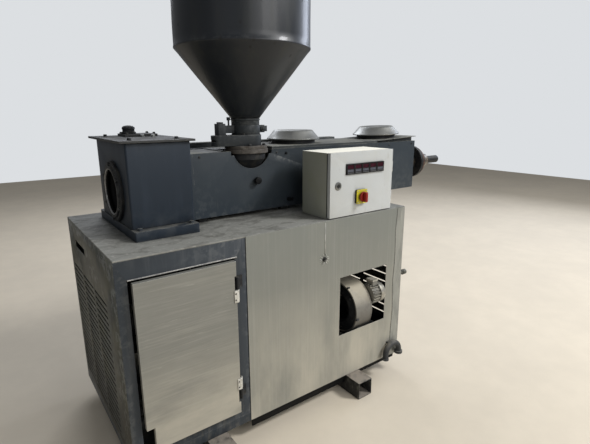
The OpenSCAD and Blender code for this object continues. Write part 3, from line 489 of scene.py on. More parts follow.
# Grey liquid crystal windows under the red ones.
GREY_WINDOW = Finish("grey_display_window", "black_plastic", "#54565e", 0.3, shine=0.2, layers=(
    Layer(Mask.PATCH, "#4a4c53", 0.6, (14, 6, 9), 0.45, 0.62),), grain_depth=0.0)
# Moulded yellow polycarbonate, its rims and corners darkened by painted shade.
YELLOW_PLATE = Finish("moulded_yellow_polycarbonate", "yellow_plastic", "#d2c62f", 0.35, layers=(
    Layer(Mask.PATCH, "#a99c2b", 0.5, 18, 0.48, 0.7), CORNER_SHADE), grain_mm=1.2)
# Moulded red nylon, scuffed on its grip.
RED_HANDLE = Finish("moulded_red_nylon", "red_plastic", "#84190f", 0.45, shine=0.3, layers=(
    Layer(Mask.PATCH, "#6d1a12", 0.5, 16, 0.48, 0.7),
    Layer(Mask.EDGE, "#a8473a", 0.4, 6, 0.42, 0.6, (0, 1.4))), grain_mm=1.2)
# Zinc-plated steel: pale grey with a faint spangle.
ZINC = Finish("zinc_plated_steel", "zinc_plate", "#aeb0ad", 0.4, metal=0.8, layers=(
    Layer(Mask.PATCH, "#8f918e", 0.6, 12, 0.46, 0.6), CORNER_SHADE))
# Bright zinc on the hinge leaves, which the light catches.
HINGE_ZINC = Finish("bright_zinc_hinge", "light_hinge", "#d5d4cd", 0.42, metal=0.35, layers=(
    Layer(Mask.PATCH, "#a7a497", 0.6, 10, 0.46, 0.62), CORNER_SHADE))
# Chromed zinc die casting of the locks, gone dull.
LOCK_CHROME = Finish("dull_chromed_lock", "lock_metal", "#80817f", 0.34, metal=0.8, layers=(
    Layer(Mask.PATCH, "#6c6a63", 0.6, 6, 0.46, 0.62, rough=0.5), CORNER_SHADE))
# Fabric-braided rubber hose, dusty and matt.
HOSE_RUBBER = Finish("dusty_hose_rubber", "hose_rubber", "#2d2f31", 0.7, layers=(
    Layer(Mask.PATCH, "#3f3f3d", 0.6, 26, 0.42, 0.68, rough=0.9),
    Layer(Mask.UP, "#77736a", 0.7, 30, 0.3, 0.6, rough=0.95)), grain_mm=1.6, grain_depth=0.12)
# Black phenolic ball and knobs.
PHENOLIC = Finish("moulded_black_phenolic", "black_plastic", "#101113", 0.5, shine=0.15, layers=(
    Layer(Mask.PATCH, "#1f1e1c", 0.5, 12, 0.5, 0.7, rough=0.6),))


class Axis(Enum):
    """The axis of a form, as the places that (along, first, second) take in x, y and z."""

    X = (0, 1, 2)
    Y = (1, 0, 2)
    Z = (2, 0, 1)

    def spot(self, along: float, first: float, second: float) -> Vector:
        """Puts a distance along the axis and two across it in x, y and z.

        Args:
            along: the distance along the axis.
            first: across it, in the first other axis.
            second: across it, in the second other axis.

        Returns:
            The spot.
        """
        values = [0.0, 0.0, 0.0]
        for index, value in zip(self.value, (along, first, second)):
            values[index] = value
        return Vector(values)

    def around(self, centre: Point, radius: float, degrees: float) -> Vector:
        """Gives the spot at an angle on a circle round the axis."""
        angle = math.radians(degrees)
        return Vector(centre) + self.spot(0, radius * math.cos(angle), radius * math.sin(angle))


class Shape:
    """A mesh that grows from turned, swept and cut forms."""

    def __init__(self) -> None:
        """Starts with an empty mesh."""
        self.mesh = bmesh.new()

    def block(self, low: Point, size: Point, turn: Matrix | None = None) -> "Shape":
        """Adds a straight-sided block.

        Args:
            low: its lowest corner.
            size: its three sizes.
            turn: a rotation about its middle.

        Returns:
            The shape itself.
        """
        middle = Vector(low) + Vector(size) / 2
        spots = []
        for up, (right, back) in product((0, 1), ((0, 0), (1, 0), (1, 1), (0, 1))):
            spot = Vector([a + b * c for a, b, c in zip(low, size, (right, back, up))])
            spots.append(middle + turn @ (spot - middle) if turn else spot)
        return self.hexahedron(spots)

    def hexahedron(self, spots: Sequence[Vector]) -> "Shape":
        """Adds a form with six faces between two ends.

        Args:
            spots: four round one end and then four round the other.

        Returns:
            The shape itself.
        """
        corners = [self.mesh.verts.new(spot) for spot in spots]
        for loop in ((0, 3, 2, 1), (4, 5, 6, 7), (0, 1, 5, 4), (1, 2, 6, 5), (2, 3, 7, 6), (3, 0, 4, 7)):
            self.mesh.faces.new([corners[i] for i in loop])
        return self

    def turned(self, axis: Axis, centre: Point, profile: Sequence[Pair], steps: int = 48,
               closed: bool = False, phase: float = 0.0, wobble: float = 0.0) -> "Shape":
        """Turns a profile round an axis.

        Args:
            axis: the axis that it is turned round.
            centre: a point on the axis.
            profile: pairs of a radius and a distance along the axis.
            steps: faces round the axis.
            closed: joins the last pair to the first.
            phase: where the first face starts, in degrees.
            wobble: how far the radius strays, for sheet that was knocked about.

        Returns:
            The shape itself.
        """
        rings = []
        for radius, along in profile:
            ring = []
            for i in range(1 if radius < 1e-6 else steps):
                angle = math.radians(phase) + 2 * math.pi * i / steps
                off = Vector((math.cos(angle), math.sin(angle), along / DENT_LENGTH))
                reach = radius + (wobble * noise.noise(off * DENTS) if radius > 1e-6 else 0)
                ring.append(self.mesh.verts.new(
                    Vector(centre) + axis.spot(along, reach * math.cos(angle), reach * math.sin(angle))))
            rings.append(ring)
        pairs = list(zip(rings, rings[1:])) + ([(rings[-1], rings[0])] if closed else [])
        for first, second in pairs:
            for i in range(steps):
                j = (i + 1) % steps
                corners = [(first, i), (first, j), (second, j), (second, i)]
                loop = list(dict.fromkeys(ring[k % len(ring)] for ring, k in corners))
                if len(loop) > 2:
                    self.mesh.faces.new(loop)
        return self

    def rod(self, axis: Axis, start: Point, radius: float, length: float, steps: int = 32) -> "Shape":
        """Adds a round bar from a start point along an axis."""
        return self.turned(axis, start, [(0, 0), (radius, 0), (radius, length), (0, length)], steps)

    def bolt(self, axis: Axis, seat: Point, across: float, sign: int = 1) -> "Shape":
        """Adds a hexagon head with a chamfered top on its washer.

        Args:
            axis: the bolt's axis.
            seat: the middle of the face that it is tightened on.
            across: its size across the flats.
            sign: 1 or -1, the side of the seat that it stands on.

        Returns:
            The shape itself.
        """
        r, washer, top = across / math.sqrt(3), 2 * sign, across * 0.66 * sign
        self.turned(axis, seat, [(0, 0), (r * 1.15, 0), (r * 1.15, washer), (0, washer)], 24)
        head = [(0, washer), (r, washer), (r, top * 0.85), (r * 0.84, top), (0, top)]
        return self.turned(axis, seat, head, 6, phase=15.0)

    def bolt_circle(self, axis: Axis, centre: Point, radius: float, across: float, count: int,
                    first: float, sign: int = 1) -> "Shape":
        """Adds bolts at even steps on a circle.

        Args:
            axis: the circle's axis.
            centre: its middle, level with the bolts' seats.
            radius: of the circle.
            across: the bolts' size across the flats.
            count: of the bolts.
            first: the angle of the first bolt, in degrees.
            sign: 1 or -1, the side of the seats that they stand on.

        Returns:
            The shape itself.
        """
        for i in range(count):
            self.bolt(axis, axis.around(centre, radius, first + 360 * i / count), across, sign)
        return self

    def plate(self, axis: Axis, at: float, depth: float, outline: Sequence[Pair],
              holes: Sequence[Sequence[Pair]] = ()) -> "Shape":
        """Cuts a plate with holes.

        Args:
            axis: the axis across the plate.
            at: where its first face lies on that axis.
            depth: its thickness, toward the axis's end.
            outline: points round the plate, in the other two axes.
            holes: points round each hole.

        Returns:
            The shape itself.
        """
        edges = []
        for loop in (outline, *holes):
            spots = [self.mesh.verts.new(axis.spot(at, u, v)) for u, v in loop]
            edges += [self.mesh.edges.new((spots[i - 1], spots[i])) for i in range(len(spots))]
        filled = bmesh.ops.triangle_fill(self.mesh, use_beauty=True, use_dissolve=False, edges=edges)
        faces = [part for part in filled["geom"] if isinstance(part, bmesh.types.BMFace)]
        grown = bmesh.ops.extrude_face_region(self.mesh, geom=faces)
        spots = [part for part in grown["geom"] if isinstance(part, bmesh.types.BMVert)]
        bmesh.ops.translate(self.mesh, verts=spots, vec=axis.spot(depth, 0, 0))
        return self

    def tube(self, path: Sequence[Point], radius: float, steps: int = 16) -> "Shape":
        """Sweeps a round bar along a path.

        Args:
            path: points on its middle line.
            radius: the bar's radius.
            steps: faces round the bar.

        Returns:
            The shape itself.
        """
        spots = [Vector(p) for p in path]
        side = Vector((0.3, 0.5, 0.8)).cross(spots[1] - spots[0]).normalized()
        rings = []
        for i, spot in enumerate(spots):
            ahead = (spots[min(i + 1, len(spots) - 1)] - spots[max(i - 1, 0)]).normalized()
            side = (side - ahead * side.dot(ahead)).normalized()
            other = ahead.cross(side)
            rings.append([self.mesh.verts.new(spot + radius * (side * math.cos(a) + other * math.sin(a)))
                          for a in (2 * math.pi * k / steps for k in range(steps))])
        for first, second in zip(rings, rings[1:]):
            for k in range(steps):
                self.mesh.faces.new([first[k], first[(k + 1) % steps], second[(k + 1) % steps], second[k]])
        self.mesh.faces.new(list(reversed(rings[0])))
        self.mesh.faces.new(rings[-1])
        return self

    def skin(self, columns: Sequence[float], rows: Sequence[float], depth: Callable[[float, float], float],
             thickness: float, keep: Callable[[float, float], bool] = lambda x, z: True) -> "Shape":
        """Lays a sheet in the XZ plane over a grid and gives it a thickness toward the rear.

        Args:
            columns: the x of the grid's lines.
            rows: the z of the grid's lines.
            depth: the y of the sheet's face at an x and a z.
            thickness: of the sheet.
            keep: says whether the cell round an x and a z is there.

        Returns:
            The shape itself.
        """
        front = [[self.mesh.verts.new((x, depth(x, z), z)) for x in columns] for z in rows]
        back = [[self.mesh.verts.new((x, depth(x, z) + thickness, z)) for x in columns] for z in rows]
        across, up = len(columns) - 1, len(rows) - 1
        there = {(i, j) for i in range(across) for j in range(up)
                 if keep((columns[i] + columns[i + 1]) / 2, (rows[j] + rows[j + 1]) / 2)}
        for i, j in there:
            self.mesh.faces.new([front[j][i], front[j][i + 1], front[j + 1][i + 1], front[j + 1][i]])
            self.mesh.faces.new([back[j + 1][i], back[j + 1][i + 1], back[j][i + 1], back[j][i]])
            for beside, (a, b), (c, d) in (((i - 1, j), (j, i), (j + 1, i)),
                                           ((i + 1, j), (j + 1, i + 1), (j, i + 1)),
                                           ((i, j - 1), (j, i + 1), (j, i)),
                                           ((i, j + 1), (j + 1, i), (j + 1, i + 1))):
                if beside not in there:
                    self.mesh.faces.new([front[a][b], front[c][d], back[c][d], back[a][b]])
        bmesh.ops.delete(self.mesh, geom=[v for v in self.mesh.verts if not v.link_faces], context="VERTS")
        return self


def ring(x: float, z: float, radius: float, steps: int, start: float = 0.0,
         end: float = 360.0) -> list[Pair]:
    """Gives points on a circle or an arc, the arc with both its ends.

    Args:
        x: the middle's first coordinate.
        z: the middle's second coordinate.
        radius: its radius.
        steps: parts of the circle or the arc.
        start: the first point's angle, in degrees.
        end: the last point's angle, in degrees.

    Returns:
        The points, in order.
    """
    count = steps if end - start >= 360 else steps + 1
    return [(x + radius * math.cos(math.radians(start + (end - start) * i / steps)),
             z + radius * math.sin(math.radians(start + (end - start) * i / steps))) for i in range(count)]


def rectangle(x0: float, z0: float, x1: float, z1: float) -> list[Pair]:
    """Gives the corners of a rectangle."""
    return [(x0, z0), (x1, z0), (x1, z1), (x0, z1)]


def rounded(x0: float, z0: float, x1: float, z1: float, radius: float, steps: int) -> list[Pair]:
    """Gives points round a rectangle with round corners.

    Args:
        x0: its left side.
        z0: its lower side.
        x1: its right side.
        z1: its upper side.
        radius: of its corners.
        steps: parts of each corner.

    Returns:
        The points, in order.
    """
    left, low, right, top = x0 + radius, z0 + radius, x1 - radius, z1 - radius
    outline = []
    for quarter, (x, z) in enumerate(((right, top), (left, top), (left, low), (right, low))):
        outline += ring(x, z, radius, steps, 90 * quarter, 90 * quarter + 90)
    return outline


def inner(u: float, v: float, steep: float) -> float:
    """Gives 1 over the middle of a sheet and falls to 0 at its rims, for u and v from 0 to 1."""
    return max(0.0, min(1.0, steep * u, steep * (1 - u), steep * v, steep * (1 - v)))


def lines(start: float, end: float, pitch: float, extra: Sequence[float] = ()) -> list[float]:
    """Gives grid lines from start to end about a pitch apart, and through each extra value.

    Args:
        start: the first line.
        end: the last line.
        pitch: about how far apart they lie.
        extra: values that a line has to go through.

    Returns:
        The lines' values, in order.
    """
    count = max(1, round((end - start) / pitch))
    even = [start + (end - start) * i / count for i in range(count + 1)]
    kept = [v for v in even if all(abs(v - e) > pitch * 0.3 for e in extra) or v in (start, end)]
    return sorted(set(kept) | {e for e in extra if start < e < end})


@dataclass
class Workshop:
    """Turns shapes into pieces of the scene and dresses the nodes that the frame keeps."""

    nodes: dict[str, bpy.types.Object]
    made: dict[str, bpy.types.Material] = field(default_factory=dict)

    def material(self, finish: Finish) -> bpy.types.Material:
        """Gives the one material of a finish.

        Args:
            finish: what a piece is made of.

        Returns:
            The material, which is built when it is first asked for.
        """
        if finish.name not in self.made:
            self.made[finish.name] = finish.material()
        return self.made[finish.name]

    def round_off(self, piece: bpy.types.Object, width: float, segments: int) -> None:
        """Rounds a piece's sharp edges and shades it smooth.

        Args:
            piece: the object.
            width: of the rounding, in millimetres.
            segments: faces across the rounding.
        """
        piece.data.polygons.foreach_set("use_smooth", [True] * len(piece.data.polygons))
        if width > 0:
            bevel = piece.modifiers.new("edges", "BEVEL")
            bevel.width = width / 1000
            bevel.segments = segments
            bevel.limit_method = "ANGLE"
            bevel.angle_limit = math.radians(SHARP)
            bevel.harden_normals = True
            bevel.miter_outer = "MITER_ARC"

    def add(self, name: str, shape: Shape, finish: Finish, body: str = "machine", bevel: float = 1.0,
            segments: int = 2, stands_for: Sequence[str] = ()) -> None:
        """Makes a piece of the scene from a shape.

        Args:
            name: the piece's name.
            shape: its mesh, in millimetres.
            finish: what it is made of.
            body: the body that it moves with.
            bevel: the rounding of its edges, in millimetres.
            segments: faces across the rounding.
            stands_for: the frame's nodes that it replaces.
        """
        bmesh.ops.recalc_face_normals(shape.mesh, faces=shape.mesh.faces)
        for spot in shape.mesh.verts:
            spot.co = (spot.co - CORNER) / 1000
        mesh = bpy.data.meshes.new(name)
        shape.mesh.to_mesh(mesh)
        shape.mesh.free()
        piece = bpy.data.objects.new(name, mesh)
        bpy.context.scene.collection.objects.link(piece)
        mesh.materials.append(self.material(finish))
        self.round_off(piece, bevel, segments)
        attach(piece, body)
        if stands_for:
            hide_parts(*stands_for)
        LOG.info("%s: %d vertices, %s", name, len(mesh.vertices), finish.name)

    def keep(self, name: str, finish: Finish, bevel: float, segments: int = 2, flat: bool = True) -> None:
        """Dresses a node of the frame in a finish and rounds its edges.

        Args:
            name: the node.
            finish: what it is made of.
            bevel: the rounding of its edges, in millimetres.
            segments: faces across the rounding.
            flat: joins the triangles of each flat face, which a sheet full of slots is too fine for.
        """
        node = self.nodes[name]
        node.data.materials.clear()
        node.data.materials.append(self.material(finish))
        weld = node.modifiers.new("joined", "WELD")
        weld.merge_threshold = JOINED
        if flat:
            joined = node.modifiers.new("flat", "DECIMATE")
            joined.decimate_type = "DISSOLVE"
            joined.angle_limit = math.radians(FLAT)
        self.round_off(node, bevel, segments)
        LOG.info("%s: kept, %s", name, finish.name)


@dataclass(frozen=True)
class Lamp:
    """A soft square lamp, with its places and its side in metres and its power in watts."""

    name: str
    spot: Point
    aim: Point
    size: float
    power: float
    tint: str

    def hang(self) -> None:
        """Hangs the lamp in the scene."""
        data = bpy.data.lights.new(self.name, "AREA")
        data.size, data.energy, data.color = self.size, self.power, linear(self.tint)[:3]
        lamp = bpy.data.objects.new(self.name, data)
        bpy.context.scene.collection.objects.link(lamp)
        lamp.location = self.spot
        lamp.rotation_mode = "QUATERNION"
        lamp.rotation_quaternion = (Vector(self.aim) - Vector(self.spot)).to_track_quat("-Z", "Y")


@dataclass
class Studio:
    """The camera at the photograph's place, a soft light and a pale floor, in metres."""

    eye: Point = (-1.4240, -1.8151, 1.3929)
    yaw: float = 36.41
    pitch: float = 14.13
    roll: float = -0.18
    lens: float = 26.353
    sensor: float = 36.0
    lamps: tuple[Lamp, ...] = (
        Lamp("key", (3.2, -3.9, 5.0), (0.0, 0.0, 0.9), 1.4, 305, "#fbfbfc"),
        Lamp("low_front", (0.7, -4.6, 3.0), (0.1, -0.4, 0.3), 2.0, 58, "#faf9f8"),
        Lamp("front", (-0.8, -4.8, 3.0), (0.0, 0.0, 0.7), 2.2, 26, "#fbfaf8"),
        Lamp("fill", (-4.2, -2.6, 2.6), (0.0, 0.0, 0.9), 3.2, 11, "#f0f2f6"),
        Lamp("side", (5.4, 0.4, 3.0), (0.0, 0.0, 1.4), 2.0, 100, "#e6eeff"),
        Lamp("rear", (0.8, 3.8, 4.2), (0.0, 0.0, 1.1), 3.0, 120, "#f2f6ff"))
    ambient: float = 0.25
    ambient_tint: str = "#e4e7ec"
    backdrop: str = "#dcdfe2"
    reach: float = 9

    def camera(self) -> None:
        """Sets the camera up as the photograph was taken."""
        data = bpy.data.cameras.new("camera")
        data.lens, data.sensor_width, data.sensor_fit = self.lens, self.sensor, "HORIZONTAL"
        data.clip_start, data.clip_end = 0.05, 100
        camera = bpy.data.objects.new("camera", data)
        bpy.context.scene.collection.objects.link(camera)
        yaw, pitch, roll = (math.radians(a) for a in (self.yaw, self.pitch, self.roll))
        ahead = Vector((math.sin(yaw) * math.cos(pitch), math.cos(yaw) * math.cos(pitch), -math.sin(pitch)))
        right = Vector((math.cos(yaw), -math.sin(yaw), 0))
        up = right.cross(ahead)
        side = right * math.cos(roll) + up * math.sin(roll)
        top = up * math.cos(roll) - right * math.sin(roll)
        turn = Matrix((side, top, -ahead)).transposed()
        camera.matrix_world = Matrix.Translation(self.eye) @ turn.to_4x4()
        bpy.context.scene.camera = camera

    def light(self) -> None:
        """Hangs the lamps and sets the world round them, which only the camera sees at full brightness."""
        for lamp in self.lamps:
            lamp.hang()
        world = bpy.data.worlds.new("studio")
        world.use_nodes = True
        tree = world.node_tree
        tree.nodes.clear()
        rays = add_node(tree, "ShaderNodeLightPath")
        seen = add_node(tree, "ShaderNodeMath", {"operation": "MAXIMUM"},
                        {0: rays.outputs["Is Camera Ray"], 1: rays.outputs["Is Transmission Ray"]})
        dim = add_node(tree, "ShaderNodeBackground",
                       {"Color": linear(self.ambient_tint), "Strength": self.ambient})
        bright = add_node(tree, "ShaderNodeBackground", {"Color": linear(self.backdrop), "Strength": 1.0})
        both = add_node(tree, "ShaderNodeMixShader", None,
                        {0: seen.outputs[0], 1: dim.outputs[0], 2: bright.outputs[0]})
        add_node(tree, "ShaderNodeOutputWorld", None, {"Surface": both.outputs[0]})
        bpy.context.scene.world = world

    def floor(self) -> None:
        """Lays the pale floor."""
        mesh, r = bpy.data.meshes.new("floor"), self.reach
        mesh.from_pydata([(x, y, 0) for x, y in rectangle(-r, -r, r, r)], [], [(0, 1, 2, 3)])
        floor = bpy.data.objects.new("floor", mesh)
        bpy.context.scene.collection.objects.link(floor)
        concrete = Finish("pale_floor", "", "#dacfbb", 0.85, layers=(
            Layer(Mask.PATCH, "#ccc2b0", 0.5, 700, 0.35, 0.7, detail=8),), grain_depth=0.0)
        mesh.materials.append(concrete.material())


@dataclass
class Cabinet:
    """Sheet metal base with its frame, louvres, table plate and feet."""

    length: float = 1440
    depth: float = 790
    base: float = 90
    table: float = 928
    lip: Point = (40, -4, 850)
    lip_length: float = 415
    lip_wrap: float = 0.3
    # The screws' pitch across and up, how far they keep from the sides, and from the base and the table.
    screw_pitch: Pair = (230, 190)
    screw_edge: Point = (30, 12, 14)
    screw_rows: Point = (60, 30, 40)
    foot_x: Pair = (290, 1060)
    foot_size: float = 90
    bead: float = 3.4
    bead_pitch: float = 6
    # How far a bead strays to the side, and over what length.
    bead_stray: Pair = (1.2, 9)

    def build(self, shop: Workshop) -> None:
        """Dresses the cabinet's nodes and adds what only shows from close by.

        Args:
            shop: where the pieces are made.
        """
        for name in ("floor_pan", "front_frame", "mid_post", "rear_panel", "blower_shelf"):
            shop.keep(name, CABINET_ENAMEL, 0.8)
        for name in ("louvre_end", "vent_end"):
            shop.keep(name, LOUVRE_ENAMEL_SHADED, 0, flat=False)
        shop.keep("table_plate", TABLE_PLATE, 1.6, 3)
        for name in ("foot_left", "foot_right"):
            shop.keep(name, TUBE_STEEL, 3.0, 3)
        shop.keep("back_plate", ZINC, 0.4)
        shop.keep("switchgear", BLACK_ABS, 1.0)
        (x, y, z), wrap = self.lip, self.lip_wrap
        lip = Shape().block((x - wrap, y - wrap, z - wrap), (self.lip_length + 2 * wrap, 4.2, 4.6))
        shop.add("door_opening_lip", lip, BARE_LIP, bevel=1.2)
        shop.add("rear_screws", self.screws(), ZINC, bevel=0.4)
        shop.add("foot_welds", self.welds(), WELD_BEAD, bevel=0)

    def screws(self) -> Shape:
        """Builds the pan heads round the rear panel and down the vented end.

        Returns:
            All the heads in one shape.
        """
        (across, up), (first, side, end) = self.screw_pitch, self.screw_edge
        low, high, top = self.screw_rows
        spots = [(Axis.Y, (x, self.depth, z)) for x in lines(first, self.length - first, across)
                 for z in (self.base + low, self.table - high)]
        for z in lines(self.base + low, self.table - top, up):
            spots += [(Axis.Y, (x, self.depth, z)) for x in (side, self.length - side)]
            spots += [(Axis.X, (self.length, y, z)) for y in (end, self.depth - end)]
        heads = Shape()
        for axis, spot in spots:
            heads.turned(axis, spot, PAN_HEAD, 16)
        return heads

    def welds(self) -> Shape:
        """Builds the beads where the feet meet the floor pan, each a row of overlapping drops.

        Returns:
            All the beads in one shape.
        """
        beads, pitch, (stray, length) = Shape(), self.bead_pitch, self.bead_stray
        for x, side in product(self.foot_x, (0, self.foot_size)):
            path = [(x + side + stray * noise.noise(Vector((y / length, x, 0))), y, self.base + 0.5)
                    for y in lines(pitch, self.depth - pitch, pitch)]
            beads.tube(path, self.bead, 6)
        return beads


@dataclass
class FrontDoor:
    """Folded steel door on two loose-leaf hinges."""

    x: float = 50
    width: float = 388
    z: float = 176
    height: float = 668
    face: float = -25
    depth: float = 20
    sheet: float = 2
    gauge: float = 1.6
    # The slack of the skin: how far it bulges and how much of that varies, and its waves across and up.
    slack: Pair = (1.3, 1.5)
    waves: Pair = (2.2, 3.1)
    notch: Pair = (30, 96)
    hinges: Pair = (286, 674)
    knuckle: float = 50
    leaf_edge: float = 8
    leaf: float = 3
    cell: float = 19
    screw_x: float = 432
    screw_end: float = 12

    def gaps(self) -> tuple[Pair, Pair]:
        """Gives the two spans of height where the fixed knuckles stand beside the door."""
        (low, high), k = self.hinges, self.knuckle
        return (low - k - 9, low - 1), (high + k + 1, high + 2 * k + 9)

    def skin_depth(self, x: float, z: float) -> float:
        """Gives the y of the door's face, with the slack of thin sheet.

        Args:
            x: across the door.
            z: up the door.

        Returns:
            The face's y there.
        """
        u, v = (x - self.x) / self.width, (z - self.z) / self.height
        (bulge, swell), (across, up) = self.slack, self.waves
        return self.face + inner(u, v, 9) * (bulge + swell * noise.noise(Vector((u * across, 0.3, v * up))))

    def there(self, x: float, z: float) -> bool:
        """Says whether the door's sheet covers a spot, clear of the notch and the fixed knuckles.

        Args:
            x: across the door.
            z: up the door.

        Returns:
            True where there is sheet.
        """
        if x < self.x + self.notch[0] and z < self.z + self.notch[1]:
            return False
        beside = any(low < z < high for low, high in self.gaps())
        return not (beside and x > self.x + self.width - self.leaf_edge)

    def build(self, shop: Workshop) -> None:
        """Builds the door's skin and rim and dresses its hinges.

        Args:
            shop: where the pieces are made.
        """
        x2, z2 = self.x + self.width, self.z + self.height
        columns = lines(self.x, x2, self.cell, (self.x + self.notch[0], x2 - self.leaf_edge))
        rows = lines(self.z, z2, self.cell, (self.z + self.notch[1], *chain(*self.gaps())))
        skin = Shape().skin(columns, rows, self.skin_depth, self.gauge, self.there)
        shop.add("door_skin", skin, BRUSHED_DOOR, "access_door", 1.4, 3, ("front_door",))
        shop.add("door_rim", self.rim(), BRUSHED_DOOR, "access_door", 0.6)
        shop.keep("door_knuckles", HINGE_ZINC, 0.8)
        shop.keep("frame_knuckles", OILY_STEEL, 0.8)
        screws = Shape()
        for z, up in product(self.hinges, (self.screw_end, self.knuckle - self.screw_end)):
            screws.turned(Axis.Y, (self.screw_x, self.face - self.leaf, z + up), DOOR_SCREW, 12)
        shop.add("hinge_screws", screws, OILY_STEEL, "access_door", 0)

    def rim(self) -> Shape:
        """Builds the folded flanges round the door, stepped round the notch.

        Returns:
            The flanges in one shape.
        """
        (wide, tall), t = self.notch, self.sheet
        x, z, x2, z2 = self.x, self.z, self.x + self.width, self.z + self.height
        y, deep = self.face + 1.2, self.depth - 1.4
        rim = Shape()
        for left, low, right, top in ((x, z + tall, x + t, z2), (x + wide, z, x + wide + t, z + tall),
                                      (x, z + tall, x + wide + t, z + tall + t), (x + wide, z, x2, z + t),
                                      (x, z2 - t, x2, z2)):
            rim.block((left, y, low), (right - left, deep, top - low))
        return rim.block((x2 - self.leaf_edge - 3, y, z + t), (t, deep - t, self.height - 2 * t))


@dataclass
class FrontSheet:
    """Large stainless sheet with the blower window, its folded right edge and its lock."""

    x: float = 497
    x2: float = 1439
    z: float = 93
    z2: float = 926
    window: tuple[float, float, float, float] = (1002, 332, 1322, 635)
    cell: float = 20
    face: float = -2.6
    gauge: float = 1.4
    slack: float = 1.1
    waves: Pair = (4.0, 3.0)
    strip: float = 58
    strip_y: float = -4.9
    strip_t: float = 2.6
    # How the strip's free side strays and ripples: a reach and a length each.
    wander: Pair = (9, 150)
    ripple: Pair = (3, 47)
    batten: Point = (18, 4, 786)
    baffle: tuple[Point, Point] = ((1428, 12, 72), (2, 630, 206))
    # A near-black strip under the sheet's lower edge, between the feet: painted shade of the space under the
    # cabinet.
    rails: tuple[Point, Point] = ((505, 1058, 52), (1152, 1423, 66))
    shade_strip_top: float = 97
    lock: Pair = (901, 750)
    scratches: int = 13

    def skin_depth(self, x: float, z: float) -> float:
        """Gives the y of the sheet's face: flat at its rims, a little slack between them.

        Args:
            x: across the sheet.
            z: up the sheet.

        Returns:
            The face's y there.
        """
        u, v = (x - self.x) / (self.x2 - self.x), (z - self.z) / (self.z2 - self.z)
        across, up = self.waves
        return self.face + inner(u, v, 8) * self.slack * noise.noise(Vector((u * across, 1.7, v * up)))

    def there(self, x: float, z: float) -> bool:
        """Says whether the sheet covers a spot."""
        x0, z0, x1, z1 = self.window
        return not (x0 < x < x1 and z0 < z < z1)

    def edge(self) -> list[Pair]:
        """Gives points round the strip that is folded back over the right edge, its free side wavy.

        Returns:
            The points, in order.
        """
        side, (stray, slow), (swing, quick) = self.x2 - self.strip, self.wander, self.ripple
        free = [(side + stray * noise.noise(Vector((0.4, z / slow, 2.2))) + swing * math.sin(z / quick), z)
                for z in lines(self.z, self.z2, 16)]
        return [(self.x2, self.z), (self.x2, self.z2)] + free[::-1]

    def marks(self) -> Shape:
        """Builds the rub line above the lock and the short scratches that its key left round it.

        Returns:
            The marks in one shape.
        """
        x, z = self.lock
        y, thick, start = -4.0, 0.9, 15.0
        form = Shape().block((x + 3, y, z + 16), (2.2, thick, self.z2 - z - 22))
        for i in range(self.scratches):
            angle = i * 360 / self.scratches + 14 * noise.noise(Vector((i, 0.5, 0.5)))
            length = 9 + 15 * abs(noise.noise(Vector((i * 1.7, 2.5, 0.5))))
            turn = Matrix.Rotation(-math.radians(angle), 3, "Y")
            middle = Vector((x, 0, z)) + turn @ Vector((start + length / 2, 0, 0))
            form.block((middle.x - length / 2, y, middle.z - 0.9), (length, thick, 1.8), turn)
        return form

    def build(self, shop: Workshop) -> None:
        """Builds the sheet, what backs it, its folded strip, its lock and the hose elbow below it.

        Args:
            shop: where the pieces are made.
        """
        x0, z0, x1, z1 = self.window
        columns = lines(self.x, self.x2 - 20, self.cell, (x0, x1))
        rows = lines(self.z, self.z2, self.cell, (z0, z1))
        skin = Shape().skin(columns, rows, self.skin_depth, self.gauge, self.there)
        shop.add("sheet_skin", skin, BRUSHED_SHEET, bevel=0.5, stands_for=("front_sheet",))
        fold = Shape().plate(Axis.Y, self.strip_y, self.strip_t, self.edge())
        shop.add("sheet_fold", fold, FOLD_SHEET, bevel=0.9)
        backs = Shape()
        for x in (self.x, self.x2 - 40):
            backs.block((x, -1, self.z + 42), self.batten)
        shop.add("sheet_backs", backs, CABINET_ENAMEL, bevel=0.4)
        shop.add("vent_baffle", Shape().block(*self.baffle), INLET_BLACK, bevel=0.4)
        # Painted shade: near-black strips under the sheet's lower edge.
        rail = Shape()
        for x, x2, z in self.rails:
            rail.block((x, 6, z), (x2 - x, 5, self.shade_strip_top - z))
        shop.add("sheet_base_shade_strip", rail, SHADE_BLACK_STEEL, bevel=0.8)
        self.lock_set(shop)
        shop.add("sheet_rub_mark", self.marks(), SCRATCHED, bevel=0)
        shop.keep("hose_elbow", HOSE_RUBBER, 0.8)

    def lock_set(self, shop: Workshop) -> None:
        """Builds the lock's barrel and the worn key wings in it.

        Args:
            shop: where the pieces are made.
        """
        x, z = self.lock
        body = Shape().turned(Axis.Y, (x, -2, z), [
            (0, 0), (11, 0), (11, -2), (9.5, -3), (7, -3), (7, -9), (6, -10.5), (0, -10.5)], 32)
        shop.add("lock_barrel", body, OILY_STEEL, bevel=0.3, stands_for=("sheet_lock",))
        wings = Shape()
        for y, size, turn in ((-17, (2.8, 8, 18), 32), (-16, (16, 6, 2.6), -14)):
            low = (x - size[0] / 2, y, z - size[2] / 2)
            wings.block(low, size, Matrix.Rotation(math.radians(turn), 3, "Y"))
        shop.add("lock_key", wings, LOCK_CHROME, bevel=0.7)


